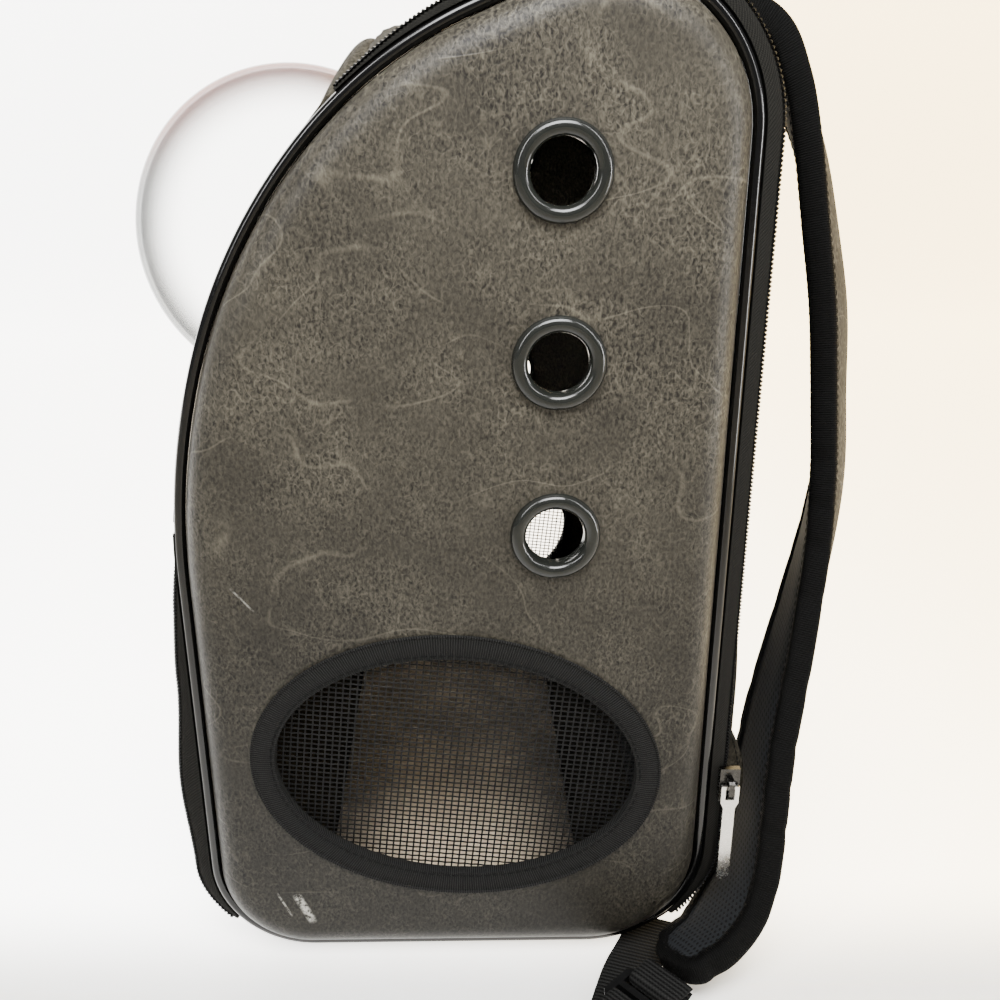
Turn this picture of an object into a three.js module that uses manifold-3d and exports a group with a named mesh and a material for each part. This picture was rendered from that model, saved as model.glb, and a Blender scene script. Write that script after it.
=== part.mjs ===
// Pet carrier backpack with a clear bubble in its curved front.
// Millimetres. +Z is up, the bubble faces -Y, the wearer's back is at +Y, and +X is the
// wearer's right. The origin is the middle of the underside, on the floor.
import * as THREE from 'three';
import { mergeVertices } from 'three/addons/utils/BufferGeometryUtils.js';
import Module from 'manifold-3d';

const wasm = await Module();
wasm.setup();

// Sizes of the whole
const halfWidth = 145;
const panelWall = 3;
const panelRise = 12;
const panelRoll = 14;
const gap = 0.3;
const floorEdge = 6;
const frontEdge = -110;

// Outline of a side panel, walked from the front foot up, over the top and down the back.
// Runs without a radius are straight, and the two open lengths close the outline.
const outlineRows = [
  { name: 'front wall', length: 149.4, turn: 0, steps: 6 },
  { name: 'front shoulder', radius: 300, turn: 20, steps: 5 },
  { name: 'bubble slope', radius: 215, turn: 22, steps: 4 },
  { name: 'front crown', radius: 170, turn: 26, steps: 4 },
  { name: 'top', length: 27, turn: 0, steps: 2 },
  { name: 'back crown', radius: 55, turn: 112, steps: 8 },
  { name: 'back wall', length: null, turn: 0, steps: 6 },
  { name: 'back foot', radius: 50, turn: 90, steps: 6 },
  { name: 'floor', length: null, turn: 0, steps: 3 },
  { name: 'front foot', radius: 42, turn: 90, steps: 6 },
];

// How far the cloth between the side panels stands outside their edge.
const clothRows = [
  { run: 'front wall', part: 0, out: 12.5 },
  { run: 'front wall', part: 0.31, out: 15 },
  { run: 'front wall', part: 0.67, out: 11 },
  { run: 'front wall', part: 1, out: 8 },
  { run: 'front shoulder', part: 0.22, out: 7 },
  { run: 'front shoulder', part: 0.45, out: 5.2 },
  { run: 'bubble slope', part: 0.5, out: 5 },
  { run: 'front crown', part: 0, out: 5.8 },
  { run: 'front crown', part: 0.3, out: 7.4 },
  { run: 'front crown', part: 1, out: 9.4 },
  { run: 'back crown', part: 0, out: 10.3 },
  { run: 'back crown', part: 0.5, out: 12 },
  { run: 'back wall', part: 0, out: 12.4 },
  { run: 'back wall', part: 1, out: 12.4 },
  { run: 'back foot', part: 0.5, out: 9.8 },
  { run: 'floor', part: 0, out: floorEdge },
  { run: 'floor', part: 1, out: floorEdge },
  { run: 'front foot', part: 0.5, out: 8.8 },
];

// Edge trim between the side panels and the cloth
const pipingRadius = 2.6;
const pipingOut = 2.9;
const pipingX = 144.6;
const clothWall = 3;
const tapeInnerX = 128;
const seamX = 141.4;
const backPad = 8;
const basePlate = 4;
const floorPad = { width: 268, front: -66, back: 66, thick: 6, corner: 14 };

// Bubble: a clear dome in a padded ring on a flat seat of the front panel
const domeCentre = new THREE.Vector3(0, -76.5, 328.5);
const domeAxis = new THREE.Vector3(0, -0.9135, 0.4067).normalize();
const domeRadius = 80.5;
const domeWall = 2.5;
const domeFlange = 91.5;
const seatHeight = -6;
const seatFlat = 115;
const seatBlend = 134;
const frontBulge = 10;
const ringInner = 82;
const ringOuter = 100.5;
const ringCrest = 3;

// Ventilation: three eyelets in a column and one oval mesh window on each side
const eyeletY = 44;
const eyeletZ = [361.6, 291.7, 220.4];
const eyeletOuter = 18.4;
const eyeletHole = 12;
const eyeletBarrel = 14.4;
const windowCentre = { y: 2.2, z: 108.6 };
const windowTilt = 6.2;
const windowHole = { along: 84, up: 59 };
const windowInner = { along: 80.4, up: 55.3 };
const windowOuter = { along: 91.4, up: 67 };
const meshPlate = { along: 88, up: 63, thick: 0.8 };
const windowTape = 1.2;

// Zip slider and its pull, low on the back edge of each side
const slider = { y: 127.3, z: 93, x: 146.8, wide: 9, tall: 17, thick: 2.8 };
const bridge = { wide: 2.6, half: 4.2, wall: 1.3, rise: 4.9 };
const pull = { bar: 1.6, wide: 5.4, eyeWide: 8.2, eyeHole: 4.2, eyeDeep: 6.4, long: 51, thick: 1.6 };

// Leather tab in the back seam above the base: its inner and outer edge as y and z
const cornerTabX = { inner: 133, outer: 135.4 };
const cornerTabRows = [
  { inner: [126.3, 118], outer: [127.8, 118.4] },
  { inner: [126.3, 104], outer: [133.5, 106.5] },
  { inner: [126.3, 90], outer: [137.8, 92] },
  { inner: [126.3, 74], outer: [137.6, 76] },
  { inner: [126.3, 58], outer: [136, 63] },
  { inner: [125.5, 46.2], outer: [134.5, 48] },
  { inner: [122.5, 37.2], outer: [130.5, 36.5] },
  { inner: [118.1, 28.6], outer: [125, 26.5] },
  { inner: [112.6, 20.9], outer: [117.5, 17.5] },
];

// Right shoulder strap: the two edges of its middle surface, a row for each section
const strapRows = [
  { outerX: 88, outerY: 105, outerZ: 430, innerX: 33, innerY: 105, innerZ: 430 },
  { outerX: 88, outerY: 135, outerZ: 417, innerX: 33, innerY: 137, innerZ: 417 },
  { outerX: 89, outerY: 147, outerZ: 396, innerX: 34, innerY: 154, innerZ: 396 },
  { outerX: 90, outerY: 153.5, outerZ: 370, innerX: 37, innerY: 169, innerZ: 370 },
  { outerX: 91, outerY: 160, outerZ: 335, innerX: 39, innerY: 180, innerZ: 335 },
  { outerX: 92, outerY: 166.5, outerZ: 300, innerX: 40, innerY: 187.5, innerZ: 300 },
  { outerX: 94, outerY: 170.5, outerZ: 262, innerX: 42, innerY: 192.5, innerZ: 262 },
  { outerX: 99, outerY: 172.5, outerZ: 228, innerX: 47, innerY: 193.5, innerZ: 228 },
  { outerX: 107, outerY: 171.5, outerZ: 195, innerX: 54, innerY: 188, innerZ: 195 },
  { outerX: 117, outerY: 167, outerZ: 165, innerX: 63, innerY: 179, innerZ: 165 },
  { outerX: 129, outerY: 161, outerZ: 135, innerX: 74, innerY: 168, innerZ: 133 },
  { outerX: 142, outerY: 154, outerZ: 108, innerX: 87, innerY: 157, innerZ: 104 },
  { outerX: 152, outerY: 150, outerZ: 84, innerX: 97, innerY: 150, innerZ: 76 },
  { outerX: 160, outerY: 147, outerZ: 62, innerX: 105, innerY: 147, innerZ: 48 },
  { outerX: 168, outerY: 143, outerZ: 45, innerX: 115, innerY: 140, innerZ: 26 },
  { outerX: 175, outerY: 136, outerZ: 34, innerX: 126, innerY: 128.5, innerZ: 14 },
  { outerX: 182, outerY: 126, outerZ: 27, innerX: 140.5, innerY: 116.5, innerZ: 9.2 },
  { outerX: 186, outerY: 116, outerZ: 21, innerX: 153, innerY: 103, innerZ: 8.5 },
];
const strapThick = 11.8;
const strapTip = 13;
const strapTipSteps = 5;
const strapTuck = 0.5;
const strapTuckFrom = 140;
const bindingLap = 6.5;
const bindingWall = 1.1;
const faceWall = 1;
const faceCrown = 0.4;
const faceFirstRow = 2;

// Webbing from under the back corner to the ladder lock at the end of the strap
const webbing = { wide: 25, thick: 1.5 };
const webbingRows = [
  { x: 133, y: 101, z: 1.1, across: 70 },
  { x: 148, y: 94, z: 1.1, across: 70 },
  { x: 166, y: 83.5, z: 1.1, across: 70 },
  { x: 186, y: 75, z: 1.1, across: 68 },
  { x: 205, y: 67, z: 1.1, across: 60 },
  { x: 216, y: 59, z: 3.2, across: 46 },
  { x: 219, y: 56, z: 7.2, across: 43 },
  { x: 215, y: 60, z: 10.6, across: 42 },
  { x: 206, y: 69, z: 12, across: 42 },
  { x: 197.8, y: 78, z: 12, across: 42 },
  { x: 195.5, y: 80.5, z: 11.6, across: 42 },
  { x: 194.7, y: 81.5, z: 8.6, across: 42 },
  { x: 195.5, y: 80.5, z: 5.6, across: 42 },
  { x: 197.8, y: 78, z: 5.2, across: 42 },
  { x: 201.4, y: 74, z: 5.2, across: 42 },
];
const lock = { x: 191.4, y: 85.1, z: 8.6, along: 22, wide: 33, thick: 3, bar: 3.4, corner: 3, heading: 132 };
const tabRows = [
  { x: 178.9, y: 99, z: 9.4, across: 42 },
  { x: 185, y: 92.2, z: 5.2, across: 42 },
  { x: 187.3, y: 89.7, z: 5.6, across: 42 },
  { x: 188.1, y: 88.7, z: 8.6, across: 42 },
  { x: 187.3, y: 89.7, z: 11.6, across: 42 },
  { x: 185, y: 92.2, z: 12, across: 42 },
  { x: 178.9, y: 99, z: 12.2, across: 42 },
];

// Finishes
const finishes = {
  leather: { color: 0x5f5a4e, roughness: 0.55, metalness: 0 },
  piping: { color: 0x0d0d0d, roughness: 0.25, metalness: 0 },
  cloth: { color: 0x141414, roughness: 0.85, metalness: 0 },
  pad: { color: 0x6d5a45, roughness: 0.95, metalness: 0 },
  clear: { color: 0xe9ecec, roughness: 0.05, metalness: 0, transparent: true, opacity: 0.3 },
  eyelet: { color: 0x3a3c3a, roughness: 0.2, metalness: 0 },
  metal: { color: 0x6b6b6b, roughness: 0.25, metalness: 1 },
};

const sideWay = new THREE.Vector3(1, 0, 0);
const backWay = new THREE.Vector3(0, 1, 0);
const upWay = new THREE.Vector3(0, 0, 1);
const toRad = THREE.MathUtils.degToRad;
const smooth = THREE.MathUtils.smoothstep;

// Walks the outline rows and keeps where each run starts and which way it heads.
function walkOutline() {
  const runs = [];
  let y = frontEdge;
  let z = floorEdge + outlineRows[9].radius;
  let heading = 0;
  let start = 0;
  for (const row of outlineRows) {
    const turn = toRad(row.turn);
    let length = row.radius ? row.radius * turn : row.length;
    if (row.name === 'back wall') length = z - floorEdge - outlineRows[7].radius;
    if (row.name === 'floor') length = y - frontEdge - outlineRows[9].radius;
    runs.push({ ...row, turn, length, start, y, z, heading });
    const end = alongRun(runs[runs.length - 1], length);
    y = end.y;
    z = end.z;
    heading = end.heading;
    start += length;
  }
  return runs;
}

// Point and heading a given way along one run; the heading is 0 straight up.
function alongRun(run, distance) {
  if (!run.radius) {
    const y = run.y + Math.sin(run.heading) * distance;
    const z = run.z + Math.cos(run.heading) * distance;
    return { y, z, heading: run.heading };
  }
  const heading = run.heading + distance / run.radius;
  const centreY = run.y + Math.cos(run.heading) * run.radius;
  const centreZ = run.z - Math.sin(run.heading) * run.radius;
  const y = centreY - Math.cos(heading) * run.radius;
  const z = centreZ + Math.sin(heading) * run.radius;
  return { y, z, heading };
}

const runs = walkOutline();
const lastRun = runs[runs.length - 1];
const perimeter = lastRun.start + lastRun.length;
const place = (name, part) => {
  const run = runs.find((candidate) => candidate.name === name);
  return run.start + run.length * part;
};

// Point of the outline moved outwards, at a side distance x.
function edgePoint(distance, out, x) {
  const around = ((distance % perimeter) + perimeter) % perimeter;
  const run = runs.findLast((candidate) => candidate.start <= around + 1e-9);
  const spot = alongRun(run, around - run.start);
  const y = spot.y - Math.cos(spot.heading) * out;
  const z = spot.z + Math.sin(spot.heading) * out;
  return new THREE.Vector3(x, y, z);
}

// Distances along the outline from one place to another, close together on the bends.
// Pieces that only follow the outline need no steps on its straight runs.
function stations(from, to, plain = false) {
  const marks = [from, to];
  for (const lap of [-1, 0, 1]) {
    for (const run of runs) {
      const steps = plain && !run.radius ? 1 : run.steps;
      for (let step = 0; step < steps; step += 1) {
        const mark = lap * perimeter + run.start + (run.length * step) / steps;
        if (mark > from + 2.5 && mark < to - 2.5) marks.push(mark);
      }
    }
  }
  return marks.sort((a, b) => a - b);
}

const clothMarks = clothRows.map((row) => ({ at: place(row.run, row.part), out: row.out }));

// How far the cloth stands out at a place along the outline.
function clothOut(distance) {
  const around = ((distance % perimeter) + perimeter) % perimeter;
  const next = clothMarks.findIndex((mark) => mark.at > around);
  const high = next < 0 ? { at: perimeter, out: clothMarks[0].out } : clothMarks[next];
  const low = next < 0 ? clothMarks[clothMarks.length - 1] : clothMarks[next - 1];
  const share = smooth(around, low.at, high.at);
  return low.out + (high.out - low.out) * share;
}

// Closed solid from corner points and triangles, turned so that its faces point out.
function solid(points, faces) {
  const positions = new Float32Array(points.flatMap((point) => [point.x, point.y, point.z]));
  let volume = 0;
  for (const [a, b, c] of faces) {
    volume += points[a].dot(new THREE.Vector3().crossVectors(points[b], points[c]));
  }
  const order = volume < 0 ? faces.map(([a, b, c]) => [a, c, b]) : faces;
  const geometry = new THREE.BufferGeometry();
  geometry.setAttribute('position', new THREE.BufferAttribute(positions, 3));
  geometry.setIndex(order.flat());
  return geometry;
}

// Solid through a row of rings with the same number of corners. The ends are closed
// with the flat shape given, or the rings join up into a loop.
function loft(rings, endShape) {
  const count = rings[0].length;
  const points = rings.flat();
  const faces = [];
  const bands = endShape ? rings.length - 1 : rings.length;
  for (let ring = 0; ring < bands; ring += 1) {
    const here = ring * count;
    const there = ((ring + 1) % rings.length) * count;
    for (let corner = 0; corner < count; corner += 1) {
      const next = (corner + 1) % count;
      faces.push([here + corner, here + next, there + next], [here + corner, there + next, there + corner]);
    }
  }
  if (endShape) {
    const last = (rings.length - 1) * count;
    for (const [a, b, c] of fill(endShape)) {
      faces.push([a, c, b], [last + a, last + b, last + c]);
    }
  }
  return solid(points, faces);
}

// Triangles that fill a flat shape, wound the way its corners run.
function fill(shape) {
  const forward = THREE.ShapeUtils.area(shape) > 0;
  const triangles = THREE.ShapeUtils.triangulateShape(shape, []);
  return forward ? triangles : triangles.map(([a, b, c]) => [a, c, b]);
}

// Solid between an outer and an inner grid of points.
function sheet(outer, inner) {
  const rows = outer.length;
  const columns = outer[0].length;
  const points = [...outer.flat(), ...inner.flat()];
  const below = rows * columns;
  const faces = [];
  const quad = (a, b, c, d) => faces.push([a, b, c], [a, c, d]);
  for (let row = 0; row + 1 < rows; row += 1) {
    for (let column = 0; column + 1 < columns; column += 1) {
      const a = row * columns + column;
      quad(a, a + 1, a + columns + 1, a + columns);
      quad(below + a, below + a + columns, below + a + columns + 1, below + a + 1);
    }
    const first = row * columns;
    const last = first + columns - 1;
    quad(first, first + columns, below + first + columns, below + first);
    quad(last, below + last, below + last + columns, last + columns);
  }
  for (let column = 0; column + 1 < columns; column += 1) {
    const far = (rows - 1) * columns + column;
    quad(column, below + column, below + column + 1, column + 1);
    quad(far, far + 1, below + far + 1, below + far);
  }
  return solid(points, faces);
}

function toManifold(geometry) {
  const bare = geometry.clone();
  bare.deleteAttribute('normal');
  bare.deleteAttribute('uv');
  const merged = mergeVertices(bare, 1e-4);
  const vertProperties = new Float32Array(merged.attributes.position.array);
  const triVerts = new Uint32Array(merged.index.array);
  return new wasm.Manifold(new wasm.Mesh({ numProp: 3, vertProperties, triVerts }));
}

function fromManifold(body) {
  const mesh = body.getMesh();
  const geometry = new THREE.BufferGeometry();
  geometry.setAttribute('position', new THREE.BufferAttribute(new Float32Array(mesh.vertProperties), 3));
  geometry.setIndex(new THREE.BufferAttribute(new Uint32Array(mesh.triVerts), 1));
  return geometry;
}

function cut(geometry, cutters) {
  let body = toManifold(geometry);
  for (const cutter of cutters) body = body.subtract(toManifold(cutter));
  return fromManifold(body);
}

function join(geometries) {
  let body = toManifold(geometries[0]);
  for (const other of geometries.slice(1)) body = body.add(toManifold(other));
  return fromManifold(body);
}

// Corners of the window oval grown or shrunk to the given half sizes.
function oval(half, count) {
  const tilt = toRad(-windowTilt);
  return Array.from({ length: count }, (_, index) => {
    const turn = (index / count) * Math.PI * 2;
    const along = Math.cos(turn) * half.along;
    const up = Math.sin(turn) * half.up;
    const y = windowCentre.y + along * Math.cos(tilt) - up * Math.sin(tilt);
    const z = windowCentre.z + along * Math.sin(tilt) + up * Math.cos(tilt);
    return new THREE.Vector2(y, z);
  });
}

const at = (side, x, flat) => flat.map((corner) => new THREE.Vector3(side * x, corner.x, corner.y));
const flatten = (ring) => ring.map((corner) => new THREE.Vector2(corner.y, corner.z));

// Disc or plate across X with the outline given, from one x to another.
const slab = (side, outline, from, to) => loft([at(side, from, outline), at(side, to, outline)], outline);

const circle = (y, z, radius, count) => Array.from({ length: count }, (_, index) => {
  const turn = (index / count) * Math.PI * 2;
  return new THREE.Vector2(y + Math.cos(turn) * radius, z + Math.sin(turn) * radius);
});

const faceX = halfWidth + panelRise;

// Moulded side panel: a rolled rim that rises to a flat face, open on its inner side.
function sidePanel(side) {
  const marks = stations(0, perimeter, true).slice(0, -1);
  const innerX = faceX - panelWall;
  const levels = [
    { inset: panelRoll, x: innerX },
    { inset: 5.6, x: innerX - 2.6 },
    { inset: panelWall, x: halfWidth },
    { inset: 0, x: halfWidth },
    { inset: 1.2, x: halfWidth + 4.4 },
    { inset: 4.6, x: halfWidth + 8.8 },
    { inset: 9, x: halfWidth + 11.2 },
    { inset: panelRoll, x: faceX },
  ];
  const rings = levels.map((level) => marks.map((mark) => edgePoint(mark, -level.inset, side * level.x)));
  const shell = loft(rings, flatten(rings[0]));
  const holes = eyeletZ.map((z) => slab(side, circle(eyeletY, z, eyeletBarrel + 0.6, 16), 130, 180));
  return cut(shell, [...holes, slab(side, oval(windowHole, 32), 130, 180)]);
}

function piping(side) {
  const marks = stations(0, perimeter, true).slice(0, -1);
  const rings = marks.map((mark) => Array.from({ length: 6 }, (_, index) => {
    const turn = (index / 6) * Math.PI * 2;
    const out = pipingOut + Math.cos(turn) * pipingRadius;
    return edgePoint(mark, out, side * (pipingX + Math.sin(turn) * pipingRadius));
  }));
  return loft(rings, null);
}

// Zip along the edge: tape beside the piping, teeth on the corner, tape on the cloth side.
function zip(side, from, to) {
  const section = (out) => [
    [5.8, 146.2], [out - 1.4, 145.6], [out + 0.7, 144], [out, 141], [out, tapeInnerX],
    [out - 1.5, tapeInnerX], [out - 1.5, 140.4], [Math.max(out - 3, 5.8), 144],
  ];
  const rings = stations(from, to).map((mark) => section(clothOut(mark))
    .map(([out, x]) => edgePoint(mark, out, side * x)));
  const end = section(clothOut(from)).map(([out, x]) => new THREE.Vector2(out, x));
  return loft(rings, end);
}

const places = {
  frontStart: place('front foot', 0.55) - perimeter,
  frontZipEnd: place('front shoulder', 0.2),
  mainZipStart: place('front crown', 0.28),
  backSeam: place('back crown', 0.5),
  backEnd: place('back foot', 0.48),
};
const seam = 0.5;

// Curved front panel with a flat round seat for the bubble ring.
function frontPanel() {
  const wideFrom = places.frontZipEnd + 3.5;
  const wideTo = places.mainZipStart - 3.5;
  const wideRows = 14;
  const middle = Array.from({ length: wideRows }, (_, row) => wideFrom + ((wideTo - wideFrom) * row) / (wideRows - 1));
  const rows = [
    ...stations(places.frontStart + seam, places.frontZipEnd + gap),
    ...middle,
    ...stations(places.mainZipStart - gap, places.backSeam - seam),
  ];
  const shares = [-1, -0.91, -0.8, -0.66, -0.5, -0.33, -0.16, 0, 0.16, 0.33, 0.5, 0.66, 0.8, 0.91, 1];
  const grid = (depth) => rows.map((mark) => {
    const wide = mark >= wideFrom && mark <= wideTo;
    const reach = wide ? seamX : tapeInnerX - gap;
    const bulge = frontBulge * smooth(mark, 0, 120) * (1 - smooth(mark, 300, 390));
    return shares.map((share) => {
      const out = clothOut(mark) - 0.2 + bulge * (1 - share * share) - depth;
      return seated(edgePoint(mark, out, share * reach), seatHeight - depth);
    });
  });
  const wall = sheet(grid(0), grid(clothWall));
  return cut(wall, [alongAxis(new THREE.CylinderGeometry(domeRadius + 0.4, domeRadius + 0.4, 120, 48))]);
}

// Moves a point near the bubble along its axis on to the flat seat.
function seated(point, height) {
  const arm = point.clone().sub(domeCentre);
  const rise = arm.dot(domeAxis);
  const radius = arm.clone().addScaledVector(domeAxis, -rise).length();
  const share = rise > -60 ? 1 - smooth(radius, seatFlat, seatBlend) : 0;
  return point.clone().addScaledVector(domeAxis, (height - rise) * share);
}

function alongAxis(geometry) {
  const turn = new THREE.Quaternion().setFromUnitVectors(new THREE.Vector3(0, 1, 0), domeAxis);
  return geometry.applyQuaternion(turn).translate(domeCentre.x, domeCentre.y, domeCentre.z);
}

function lathed(profile, segments) {
  const closed = [...profile, profile[0]].map(([radius, height]) => new THREE.Vector2(radius, height));
  return new THREE.LatheGeometry(closed, segments);
}

// Clear dome with a flat flange behind the front panel.
function dome() {
  const flangeTop = seatHeight - clothWall - gap;
  const profile = [[0, domeRadius]];
  const steps = 8;
  for (let step = 1; step <= steps; step += 1) {
    const turn = (step / steps) * Math.PI * 0.5;
    profile.push([Math.sin(turn) * domeRadius, Math.cos(turn) * domeRadius]);
  }
  profile.push([domeRadius - 0.4, flangeTop], [domeFlange, flangeTop]);
  profile.push([domeFlange, flangeTop - domeWall], [domeRadius - domeWall - 0.4, flangeTop - domeWall]);
  for (let step = steps; step >= 1; step -= 1) {
    const turn = (step / steps) * Math.PI * 0.5;
    profile.push([Math.sin(turn) * (domeRadius - domeWall), Math.cos(turn) * (domeRadius - domeWall)]);
  }
  profile.push([0, domeRadius - domeWall]);
  const line = profile.reverse().map(([radius, height]) => new THREE.Vector2(radius, height));
  return alongAxis(new THREE.LatheGeometry(line, 26));
}

function bubbleRing() {
  const base = seatHeight + 0.4;
  const middle = (ringInner + ringOuter) / 2;
  const half = (ringOuter - ringInner) / 2;
  const profile = [[ringInner, base], [ringOuter, base]];
  for (const turn of [20, 50, 90, 130, 160]) {
    const radius = middle + Math.cos(toRad(turn)) * half;
    profile.push([radius, base + Math.sin(toRad(turn)) * (ringCrest - base)]);
  }
  return alongAxis(lathed(profile, 32));
}

function backPanel() {
  const marks = stations(places.backSeam + seam, places.backEnd - seam);
  const reach = tapeInnerX - gap;
  const grid = (depth) => marks.map((mark) => [-1, 0, 1]
    .map((share) => edgePoint(mark, clothOut(mark) - 0.2 - depth, share * reach)));
  return sheet(grid(0), grid(backPad));
}

function basePanel() {
  const marks = stations(places.backEnd + seam, places.frontStart + perimeter - seam);
  const grid = (depth) => marks.map((mark) => [-1, 0, 1]
    .map((share) => edgePoint(mark, clothOut(mark) - depth, share * seamX)));
  return sheet(grid(0), grid(basePlate));
}

function floorMat() {
  const { width, front, back, thick, corner } = floorPad;
  const outline = new THREE.Shape();
  const half = width / 2;
  outline.moveTo(-half + corner, front).lineTo(half - corner, front);
  outline.quadraticCurveTo(half, front, half, front + corner).lineTo(half, back - corner);
  outline.quadraticCurveTo(half, back, half - corner, back).lineTo(-half + corner, back);
  outline.quadraticCurveTo(-half, back, -half, back - corner).lineTo(-half, front + corner);
  outline.quadraticCurveTo(-half, front, -half + corner, front);
  const geometry = new THREE.ExtrudeGeometry(outline, { depth: thick, bevelEnabled: false, curveSegments: 4 });
  return geometry.translate(0, 0, basePlate + gap);
}

function eyelet(side, z) {
  const inside = faceX - panelWall - 1.4;
  const profile = [
    [eyeletBarrel, inside], [eyeletBarrel, faceX + gap], [eyeletOuter, faceX + gap],
    [17, faceX + 3.2], [14, faceX + 3.6], [eyeletHole, faceX + 2], [eyeletHole, inside],
  ];
  const geometry = lathed(profile, 16).rotateZ(side > 0 ? -Math.PI / 2 : Math.PI / 2);
  return geometry.translate(0, eyeletY, z);
}

function meshWindow(side) {
  const outer = faceX - panelWall - gap;
  return slab(side, oval(meshPlate, 36), outer - meshPlate.thick, outer);
}

// Binding tape round the window: flat on the panel, with a lip turned in to the mesh.
function windowBinding(side) {
  const lip = { along: windowHole.along - gap, up: windowHole.up - gap };
  const top = faceX + gap + windowTape;
  const rings = [
    at(side, faceX + gap, oval(windowOuter, 32)),
    at(side, top, oval(windowOuter, 32)),
    at(side, top, oval(windowInner, 32)),
    at(side, faceX - panelWall, oval(windowInner, 32)),
    at(side, faceX - panelWall, oval(lip, 32)),
    at(side, faceX + gap, oval(lip, 32)),
  ];
  return loft(rings, null);
}

// Flat leather tab that stands out from the back seam.
function cornerTab(side) {
  const { inner, outer } = cornerTabX;
  const rings = cornerTabRows.map((row) => [
    new THREE.Vector3(side * inner, ...row.inner),
    new THREE.Vector3(side * inner, ...row.outer),
    new THREE.Vector3(side * outer, ...row.outer),
    new THREE.Vector3(side * outer, ...row.inner),
  ]);
  const end = [[0, 0], [1, 0], [1, 1], [0, 1]].map(([y, x]) => new THREE.Vector2(y, x));
  return loft(rings, end);
}

// Slider lying on the zip with an arched bridge over its middle.
function zipSlider(side) {
  const { wide, tall, thick } = slider;
  const plate = new THREE.BoxGeometry(thick, wide, tall).translate(thick / 2, 0, 0);
  const arch = new THREE.Shape();
  arch.moveTo(-bridge.half, 0).lineTo(-bridge.half, bridge.rise - 1).lineTo(1 - bridge.half, bridge.rise);
  arch.lineTo(bridge.half - 1, bridge.rise).lineTo(bridge.half, bridge.rise - 1).lineTo(bridge.half, 0);
  arch.lineTo(bridge.half - bridge.wall, 0).lineTo(bridge.half - bridge.wall, bridge.rise - bridge.wall);
  arch.lineTo(bridge.wall - bridge.half, bridge.rise - bridge.wall).lineTo(bridge.wall - bridge.half, 0);
  const hoop = new THREE.ExtrudeGeometry(arch, { depth: bridge.wide, bevelEnabled: false });
  const upright = new THREE.Matrix4().makeBasis(upWay, sideWay, backWay);
  hoop.translate(0, 0, -bridge.wide / 2).applyMatrix4(upright).translate(thick - 0.4, 0, 0);
  return mirrored(join([plate, hoop]), side);
}

// Flat pull that hangs from the bridge by a slot near its upper end.
function zipPull(side) {
  const outline = new THREE.Shape();
  const half = pull.wide / 2;
  const eye = pull.eyeWide / 2;
  const neck = -pull.eyeDeep - pull.bar;
  outline.moveTo(-eye, pull.bar / 2).lineTo(-eye, neck).lineTo(-half, neck - 3);
  outline.lineTo(-half, -pull.long + 1.5).lineTo(1.5 - half, -pull.long).lineTo(half - 1.5, -pull.long);
  outline.lineTo(half, -pull.long + 1.5).lineTo(half, neck - 3).lineTo(eye, neck).lineTo(eye, pull.bar / 2);
  const slot = new THREE.Path();
  const reach = pull.eyeHole / 2;
  slot.moveTo(-reach, -pull.bar / 2).lineTo(reach, -pull.bar / 2);
  slot.lineTo(reach, -pull.eyeDeep).lineTo(-reach, -pull.eyeDeep);
  outline.holes.push(slot);
  const geometry = new THREE.ExtrudeGeometry(outline, { depth: pull.thick, bevelEnabled: false });
  const hanging = new THREE.Matrix4().makeBasis(backWay, upWay, sideWay);
  geometry.translate(0, 0, -pull.thick / 2).applyMatrix4(hanging);
  return mirrored(geometry, side);
}

// Copy for the other side: reflected in x, with its faces turned back outwards.
function mirrored(geometry, side) {
  const flat = mergeVertices(toManifoldReady(geometry), 1e-4);
  const corners = flat.attributes.position;
  const points = Array.from({ length: corners.count }, (_, index) => {
    const point = new THREE.Vector3().fromBufferAttribute(corners, index);
    return point.setX(point.x * side);
  });
  const index = flat.index.array;
  const faces = Array.from({ length: index.length / 3 }, (_, face) => [...index.slice(face * 3, face * 3 + 3)]);
  return solid(points, faces);
}

function toManifoldReady(geometry) {
  const bare = geometry.clone();
  bare.deleteAttribute('normal');
  bare.deleteAttribute('uv');
  return bare;
}

// Sections of a strap: its middle, the way across and the outward direction of its face.
function strapSections(side) {
  const hang = (y) => (side > 0 || y < strapTuckFrom ? y : strapTuckFrom + (y - strapTuckFrom) * strapTuck);
  const edges = strapRows.map((row) => ({
    outer: new THREE.Vector3(row.outerX, hang(row.outerY), row.outerZ),
    inner: new THREE.Vector3(row.innerX, hang(row.innerY), row.innerZ),
  }));
  return edges.map(({ outer, inner }, index) => {
    const before = edges[Math.max(index - 1, 0)];
    const after = edges[Math.min(index + 1, edges.length - 1)];
    const middle = outer.clone().add(inner).multiplyScalar(0.5);
    const across = outer.clone().sub(inner);
    const half = across.length() / 2;
    across.normalize();
    const down = after.outer.clone().add(after.inner).sub(before.outer).sub(before.inner).normalize();
    const face = new THREE.Vector3().crossVectors(across, down).normalize();
    return { middle, across, face, half, down: new THREE.Vector3().crossVectors(face, across) };
  });
}

const flipX = (side, point) => point.setX(point.x * side);

// Block that follows the strap through the corners that each section gives, as a
// distance across the strap and a height over its middle surface.
function strapLayer(side, sections, corners) {
  const rings = sections.map((section) => corners(section.half)
    .map(([wide, deep]) => section.middle.clone().addScaledVector(section.across, wide)
      .addScaledVector(section.face, deep))
    .map((point) => flipX(side, point)));
  return loft(rings, corners(30).map(([wide, deep]) => new THREE.Vector2(wide, deep)));
}

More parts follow.
